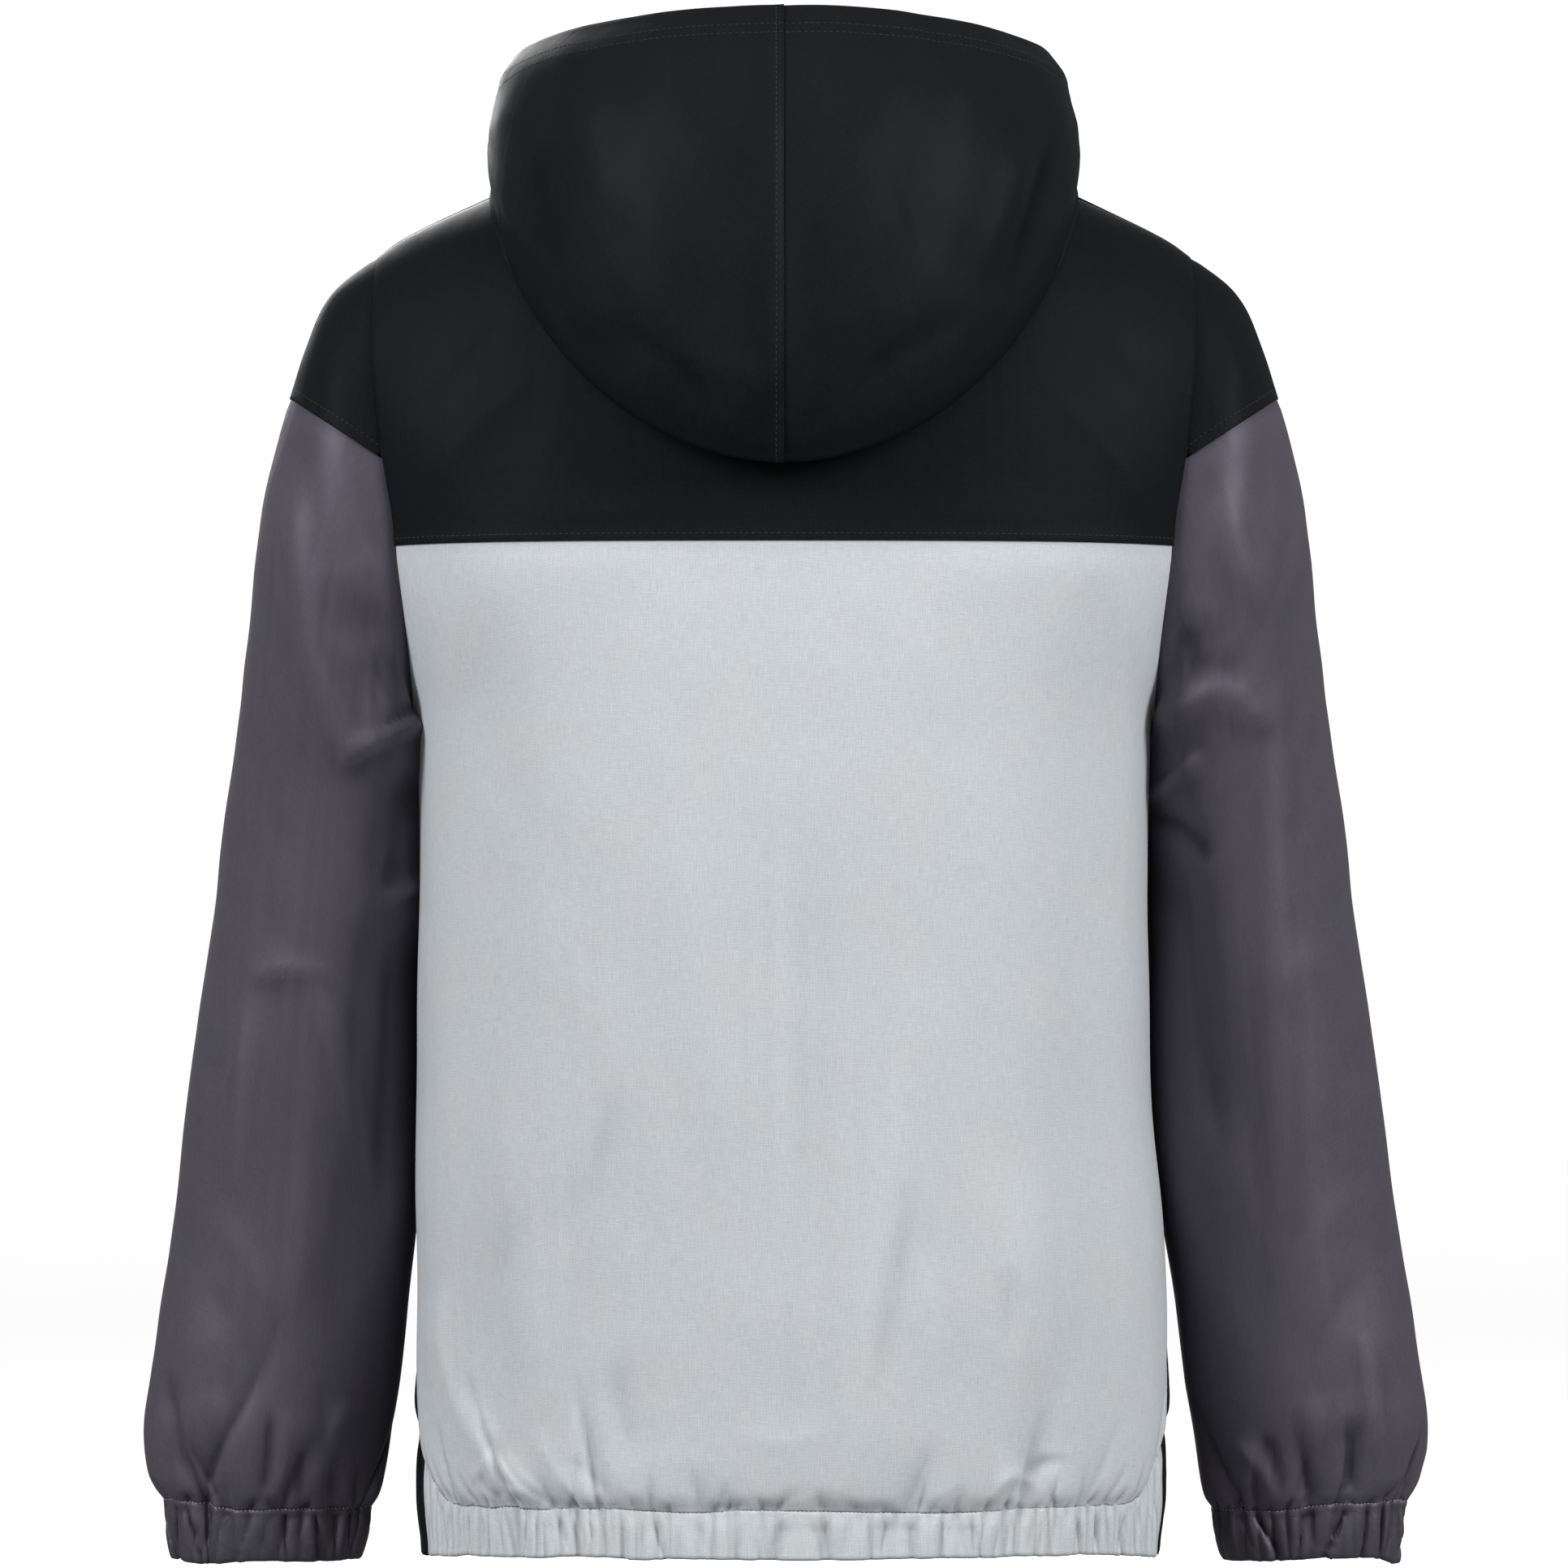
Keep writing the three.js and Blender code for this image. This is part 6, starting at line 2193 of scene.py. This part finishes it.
@dataclass
class FrontZip:
    """The front zip: two tapes, moulded teeth, retainer box, slider and pull.

    The slider's own frame has +Z up the zip and -Y outwards.
    """

    room: Workroom
    body: BodyForm
    hood: HoodForm
    step: float = 1.5
    tape_inner: float = 1.9
    tape_width: float = 12.0
    tape_depth: float = 1.75
    tape_thick: float = 0.5
    neck_bend: float = 2.2
    neck_reach: float = 12.0
    foot_size: tuple[float, float, float] = (1.9, 1.9, 1.9)
    finger_size: tuple[float, float, float] = (2.3, 1.5, 1.15)
    finger_x: float = 0.35
    stop_size: tuple[float, float, float] = (2.6, 2.3, 3.2)
    tooth_depth: float = 1.45
    edge: float = 0.22
    opened: float = 1.7
    foot_rise: float = 1.0
    box_size: tuple[float, float, float] = (6.4, 3.4, 8.0)
    box_corner: float = 1.1
    box_rim: float = 0.9
    box_sunk: float = 0.35
    cast_edge: float = 0.3
    slider_v: float = 0.84
    slider_size: tuple[float, float, float] = (8.0, 1.0, 10.0)
    slider_back: float = 3.1
    slider_gap: float = 0.3
    slider_taper: float = 0.74
    crown_size: tuple[float, float, float] = (2.0, 3.0, 6.4)
    crown_bar: float = 1.2
    pin_radius: float = 0.5
    pull_size: tuple[float, float, float] = (5.2, 1.0, 25.0)
    pull_reach: float = 4.4
    pull_corner: float = 2.2
    pull_rim: float = 0.75
    pull_sunk: float = 0.2
    leg: float = 1.0
    leg_top: float = 0.8

    def _line(self) -> tuple[Array, Array]:
        """Points up the zip at equal steps, and the directions out of it."""
        neck = float(self.body.top_height(Side.FRONT, np.zeros(1))[0])
        z = np.linspace(self.body.hem_z + self.foot_rise, neck - 1.5, 140)
        low = np.stack([self.body.sway(z), -self.body.reach(Side.FRONT, 0 * z, z), z], axis=-1)
        v = np.linspace(0.02, 0.97, 60)
        rough = np.concatenate([low, self.hood.point(v, np.full_like(v, math.pi)) * (0, 1, 1)])
        run = np.concatenate([[0.0], np.cumsum(np.linalg.norm(np.diff(rough, axis=0), axis=-1))])
        places = np.arange(0, run[-1], self.step)
        points = np.stack([np.interp(places, run, rough[:, k]) for k in range(3)], axis=-1)
        ahead = np.gradient(points, axis=0)
        wide = np.concatenate([ahead[:1]] * 4 + [ahead] + [ahead[-1:]] * 4)
        ahead = unit(np.stack([np.convolve(wide[:, k], np.ones(9) / 9, "valid") for k in range(3)], axis=-1))
        outward = unit(np.stack([0 * ahead[:, 0], -ahead[:, 2], ahead[:, 1]], axis=-1))
        return points, outward

    @cached_property
    def slider_frame(self) -> Matrix:
        """Place of the slider, in metres."""
        v = np.array([self.slider_v - 0.1, self.slider_v, self.slider_v + 0.1])
        low, middle, high = self.hood.point(v, np.full_like(v, math.pi)) - (0, 0, self.hood.seam_lift)
        lean = math.atan2(low[1] - high[1], high[2] - low[2])
        return self.moved(Matrix(), 0.0, middle[1], middle[2]) @ Matrix.Rotation(lean, 4, "X")

    @staticmethod
    def moved(at: Matrix, x: float = 0.0, y: float = 0.0, z: float = 0.0) -> Matrix:
        """A frame moved along its own axes, in millimetres."""
        return at @ Matrix.Translation(Vector((x, y, z)) * MM)

    @staticmethod
    def block(bm: bmesh.types.BMesh, size: Sequence[float], place: Matrix) -> list[bmesh.types.BMVert]:
        """Adds a block, sized in millimetres, at a place in metres; returns its corners."""
        turn = place @ Matrix.Diagonal((*(part * MM for part in size), 1.0))
        return bmesh.ops.create_cube(bm, size=1.0, matrix=turn)["verts"]

    @staticmethod
    def soften(bm: bmesh.types.BMesh, radius: float, segments: int,
               edges: Iterable[bmesh.types.BMEdge] | None = None) -> None:
        """Rounds edges by a radius in millimetres; all of them if none are named."""
        chosen = list(bm.edges if edges is None else edges)
        bmesh.ops.bevel(bm, geom=chosen, offset=radius * MM, segments=segments, affect="EDGES",
                        profile=0.5, material=-1, clamp_overlap=True)

    @staticmethod
    def sharp(bm: bmesh.types.BMesh) -> list[bmesh.types.BMEdge]:
        """The edges that are still sharp."""
        return [edge for edge in bm.edges if edge.calc_face_angle(0) > 0.9]

    def place(self, point: Array, outward: Array, x: float, depth: float) -> Matrix:
        """A frame at a place of the zip, with +Z up it and -Y outwards.

        Args:
            point: a point of the zip's line.
            outward: the direction out of it there.
            x: how far to the wearer's left of the line.
            depth: how far behind the line.

        Returns:
            The frame, in metres.
        """
        back = -outward
        up = np.cross((1, 0, 0), back)
        spot = point + np.array((x, 0, 0)) - outward * depth
        return Matrix((
            (1, back[0], up[0], spot[0] * MM), (0, back[1], up[1], spot[1] * MM),
            (0, back[2], up[2], spot[2] * MM), (0, 0, 0, 1),
        ))

    def finish_trim(self, bm: bmesh.types.BMesh, name: str, finish: Finish, node: str,
                    body: str = "jacket") -> None:
        """Makes a piece of hard trim."""
        made = joined(name, bm)
        made.modifiers.new("facets", "WEIGHTED_NORMAL").keep_sharp = True
        self.room.hand_over(made, finish, [node], body)

    def tape(self, hand: Hand) -> None:
        """One woven tape behind a front's edge.

        Args:
            hand: which tape.
        """
        points, outward = self._line()
        points, outward = points[::4], outward[::4]
        x = hand.value * np.linspace(self.tape_inner, self.tape_inner + self.tape_width, 7)
        neck = float(self.body.top_height(Side.FRONT, np.zeros(1))[0])
        bend = 1 + self.neck_bend * np.exp(-((points[:, 2:] - neck) / self.neck_reach) ** 2)
        depth = self.tape_depth + bend * smooth(np.abs(x), 4.0, self.tape_width)[None]
        aside = np.stack([x, 0 * x, 0 * x], axis=-1)
        grid = points[:, None] - outward[:, None] * depth[..., None] + aside[None]
        cloth = Cloth(grid, np.broadcast_to(points[:, None, :] * (0, 0, 1), grid.shape))
        cloth.sewn(Edge.LEFT, Edge.RIGHT)
        self.room.finish_cloth(cloth, f"zip_tape_{hand.word}", Finish.TAPE, Cut(0.012, 0.715, 0.0085),
                               f"front_{hand.word}", thickness=self.tape_thick)

    def teeth(self) -> None:
        """The moulded teeth, which mesh up to the slider and stand apart over it."""
        points, outward = self._line()
        bm = bmesh.new()
        first = round(self.box_size[2] / self.step) + 1
        shut = int(np.searchsorted(points[:, 2], self.slider_frame.translation.z / MM - 0.5))
        last = len(points) - 6
        for k in range(first, last):
            side = 1 if k % 2 else -1
            apart = self.opened * min(1.0, max(0, k - shut) / 3)
            foot_x = side * (self.tape_inner + apart + self.finger_x)
            finger_x = side * (self.finger_x + apart)
            for size, x in ((self.foot_size, foot_x), (self.finger_size, finger_x)):
                self.block(bm, size, self.place(points[k], outward[k], x, self.tooth_depth))
        for side in (-1, 1):
            x = side * (self.tape_inner + self.opened)
            spot = self.place(points[last + 1], outward[last + 1], x, self.tooth_depth)
            self.block(bm, self.stop_size, spot)
        self.soften(bm, self.edge, 1)
        self.finish_trim(bm, "zip_teeth", Finish.TEETH, "zip_chain")

    def box(self) -> None:
        """The retainer box at the foot of the zip."""
        points, outward = self._line()
        bm = bmesh.new()
        k = round(self.box_size[2] / 2 / self.step)
        depth = self.box_size[1] / 2 + 0.25
        self.block(bm, self.box_size, self.place(points[k], outward[k], 0.0, depth))
        upright = [edge for edge in bm.edges if abs((edge.verts[0].co - edge.verts[1].co).z) > 3 * MM]
        self.soften(bm, self.box_corner, 3, upright)
        self.soften(bm, self.cast_edge, 2, self.sharp(bm))
        rim = max(bm.faces, key=lambda face: -face.normal.y * face.calc_area())
        bmesh.ops.inset_region(bm, faces=[rim], thickness=self.box_rim * MM, depth=-self.box_sunk * MM)
        self.finish_trim(bm, "zip_retainer_box", Finish.TEETH, "zip_box")

    def slider(self) -> None:
        """The slider: two shaped plates, their post and rails, and the crown that holds the pull."""
        bm, at = bmesh.new(), self.slider_frame
        w, t, l = self.slider_size
        gap = self.slider_gap
        for y in (-gap - t / 2, self.slider_back + t / 2):
            verts = self.block(bm, (w, t, l), self.moved(at, y=y))
            for vert in verts:
                if (at.inverted() @ vert.co).z < 0:
                    vert.co = at @ (Matrix.Diagonal((self.slider_taper, 1, 1, 1)) @ (at.inverted() @ vert.co))
        span = self.slider_back + gap + t
        post = self.moved(at, y=span / 2 - gap - t / 2, z=l / 2 - 1.5)
        self.block(bm, (2.2, span, 3.0), post)
        for side in (-1, 1):
            rail = self.moved(at, side * (w / 2 - 0.75), -gap + 0.45, 1.6)
            self.block(bm, (0.9, 1.1, l * 0.55), rail @ Matrix.Rotation(side * 0.1, 4, "Y"))
        wide, out, tall = self.crown_size
        face = -gap - t
        for z in (-(tall - self.crown_bar) / 2, (tall - self.crown_bar) / 2):
            foot = self.moved(at, y=face - out / 2 + 0.3, z=z)
            self.block(bm, (wide, out - 0.4, self.crown_bar), foot)
        bar = self.moved(at, y=face - out + self.crown_bar / 2)
        self.block(bm, (wide, self.crown_bar, tall), bar)
        self.soften(bm, 0.28, 3)
        self.finish_trim(bm, "zip_slider_cast", Finish.METAL, "zip_slider")

    def pull(self) -> None:
        """The pull tab, which swings on its pin under the crown."""
        low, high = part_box("zip_pull")
        width, thick, length = self.pull_size
        pin = Vector(((low.x + high.x) / 2, (low.y + high.y) / 2, low.z + length * MM))
        at = Matrix.Translation(pin)
        bm = bmesh.new()
        tab = self.moved(at, z=-(length + self.pull_reach) / 2)
        self.block(bm, (width, thick, length - self.pull_reach), tab)
        through = [edge for edge in bm.edges
                   if abs((edge.verts[0].co - edge.verts[1].co).y) > 0.5 * thick * MM]
        foot = [edge for edge in through if edge.verts[0].co.z < pin.z - 0.8 * length * MM]
        self.soften(bm, self.pull_corner, 5, foot)
        self.soften(bm, self.edge, 2, self.sharp(bm))
        for side in (-1, 1):
            face = max(bm.faces, key=lambda one, side=side: side * one.normal.y * one.calc_area())
            bmesh.ops.inset_region(bm, faces=[face], thickness=self.pull_rim * MM, depth=0.0)
            bmesh.ops.translate(bm, verts=face.verts, vec=Vector((0, -side * self.pull_sunk * MM, 0)))
        frame_edges = set(bm.edges)
        reach = self.pull_reach + self.leg_top + 0.5
        for side in (-1, 1):
            x = side * (width / 2 - self.leg / 2)
            self.block(bm, (self.leg, thick, reach), self.moved(at, x, z=self.leg_top - reach / 2))
        self.soften(bm, 0.25, 2, [edge for edge in bm.edges if edge not in frame_edges])
        turn = at @ Matrix.Rotation(math.pi / 2, 4, "Y")
        bmesh.ops.create_cone(bm, cap_ends=True, segments=20, radius1=self.pin_radius * MM,
                              radius2=self.pin_radius * MM, depth=(width - 0.4) * MM, matrix=turn)
        self.finish_trim(bm, "zip_pull_tab", Finish.METAL, "zip_pull", "pull_tab")

    def build(self) -> None:
        """Makes all the pieces."""
        for hand in Hand:
            self.tape(hand)
        self.teeth()
        self.box()
        self.slider()
        self.pull()


# ---- the studio


@dataclass(frozen=True)
class SoftBox:
    """A large soft light."""

    name: str
    at: tuple[float, float, float]
    size: tuple[float, float]
    power: float


@dataclass
class Studio:
    """Pale floor and backdrop in one sweep, soft boxes and the camera; sizes are in metres."""

    wardrobe: Wardrobe
    floor_z: float = -1.1
    wall_radius: float = 11.0
    bend: float = 3.0
    wall_top: float = 9.0
    aim: tuple[float, float, float] = (0.0, 0.0, -0.3354)
    eye: tuple[float, float, float] = (0.0, 4.5, -0.3354)
    lens: float = 197.75
    ambient: float = 0.20
    lights: tuple[SoftBox, ...] = (
        SoftBox("key_box", (3.3, 2.4, 1.7), (1.0, 2.0), 154.0),
        SoftBox("fill_box", (-3.3, 2.4, 1.5), (1.2, 2.0), 160.0),
        SoftBox("lens_box", (0.3, 4.2, 0.4), (1.4, 1.8), 20.0),
        SoftBox("top_box", (0.0, 1.2, 2.6), (1.6, 1.2), 14.0),
        SoftBox("front_box", (0.6, -3.4, 1.2), (1.8, 1.8), 100.0),
    )

    def sweep(self) -> None:
        """The floor, which bends up all round into the backdrop."""
        bm = bmesh.new()
        turn = np.linspace(0, math.pi / 2, 13)
        out = self.wall_radius - self.bend * (1 - np.sin(turn))
        up = self.floor_z + self.bend * (1 - np.cos(turn))
        profile = [(0.0, self.floor_z), *zip(out, up), (self.wall_radius, self.wall_top)]
        verts = [bm.verts.new((radius, 0, z)) for radius, z in profile]
        edges = [bm.edges.new(pair) for pair in zip(verts, verts[1:])]
        bmesh.ops.spin(bm, geom=verts + edges, cent=(0, 0, 0), axis=(0, 0, 1), angle=2 * math.pi, steps=64,
                       use_merge=True)
        bmesh.ops.remove_doubles(bm, verts=bm.verts, dist=0.0001)
        bmesh.ops.recalc_face_normals(bm, faces=bm.faces)
        bmesh.ops.reverse_faces(bm, faces=bm.faces)
        made = self.wardrobe.dress(joined("studio_sweep", bm), Finish.PAPER)
        made.visible_diffuse = made.visible_glossy = made.visible_shadow = False

    def light(self) -> None:
        """The soft boxes and the even light of the room."""
        for box in self.lights:
            lamp = bpy.data.lights.new(box.name, "AREA")
            lamp.shape, lamp.energy = "RECTANGLE", box.power
            lamp.size, lamp.size_y = box.size
            made = bpy.data.objects.new(box.name, lamp)
            made.location = box.at
            made.rotation_euler = (Vector(self.aim) - Vector(box.at)).to_track_quat("-Z", "Y").to_euler()
            bpy.context.scene.collection.objects.link(made)
        world = bpy.data.worlds.new("room")
        world.use_nodes = True
        room = world.node_tree.nodes["Background"]
        room.inputs["Color"].default_value = (1.0, 1.0, 1.0, 1.0)
        room.inputs["Strength"].default_value = self.ambient
        bpy.context.scene.world = world

    def camera(self) -> None:
        """The camera, level and straight behind the jacket."""
        lens = bpy.data.cameras.new("camera")
        lens.lens, lens.sensor_width, lens.clip_end = self.lens, 36.0, 60.0
        made = bpy.data.objects.new("camera", lens)
        made.location = self.eye
        made.rotation_euler = (Vector(self.aim) - Vector(self.eye)).to_track_quat("-Z", "Y").to_euler()
        bpy.context.scene.collection.objects.link(made)
        bpy.context.scene.camera = made

    def build(self) -> None:
        """Sets the studio up."""
        self.sweep()
        self.light()
        self.camera()
        view = bpy.context.scene.view_settings
        view.view_transform, view.look, view.exposure, view.gamma = "Standard", "None", 0.0, 1.0


def main() -> None:
    """Builds the jacket and the studio."""
    logging.basicConfig(level=logging.INFO, format="%(message)s")
    wardrobe = Wardrobe()
    room = Workroom(wardrobe)
    body = BodyForm()
    hood = HoodForm(body)
    Torso(room, body).build()
    for hand, creases, seed in ((Hand.LEFT, LEFT_ARM_CREASES, 40), (Hand.RIGHT, RIGHT_ARM_CREASES, 140)):
        Arm(room, ArmForm(body, hand), creases, seed=seed).build()
    HoodPair(room, hood).build()
    FrontZip(room, body, hood).build()
    Studio(wardrobe).build()


if __name__ == "__main__":
    main()
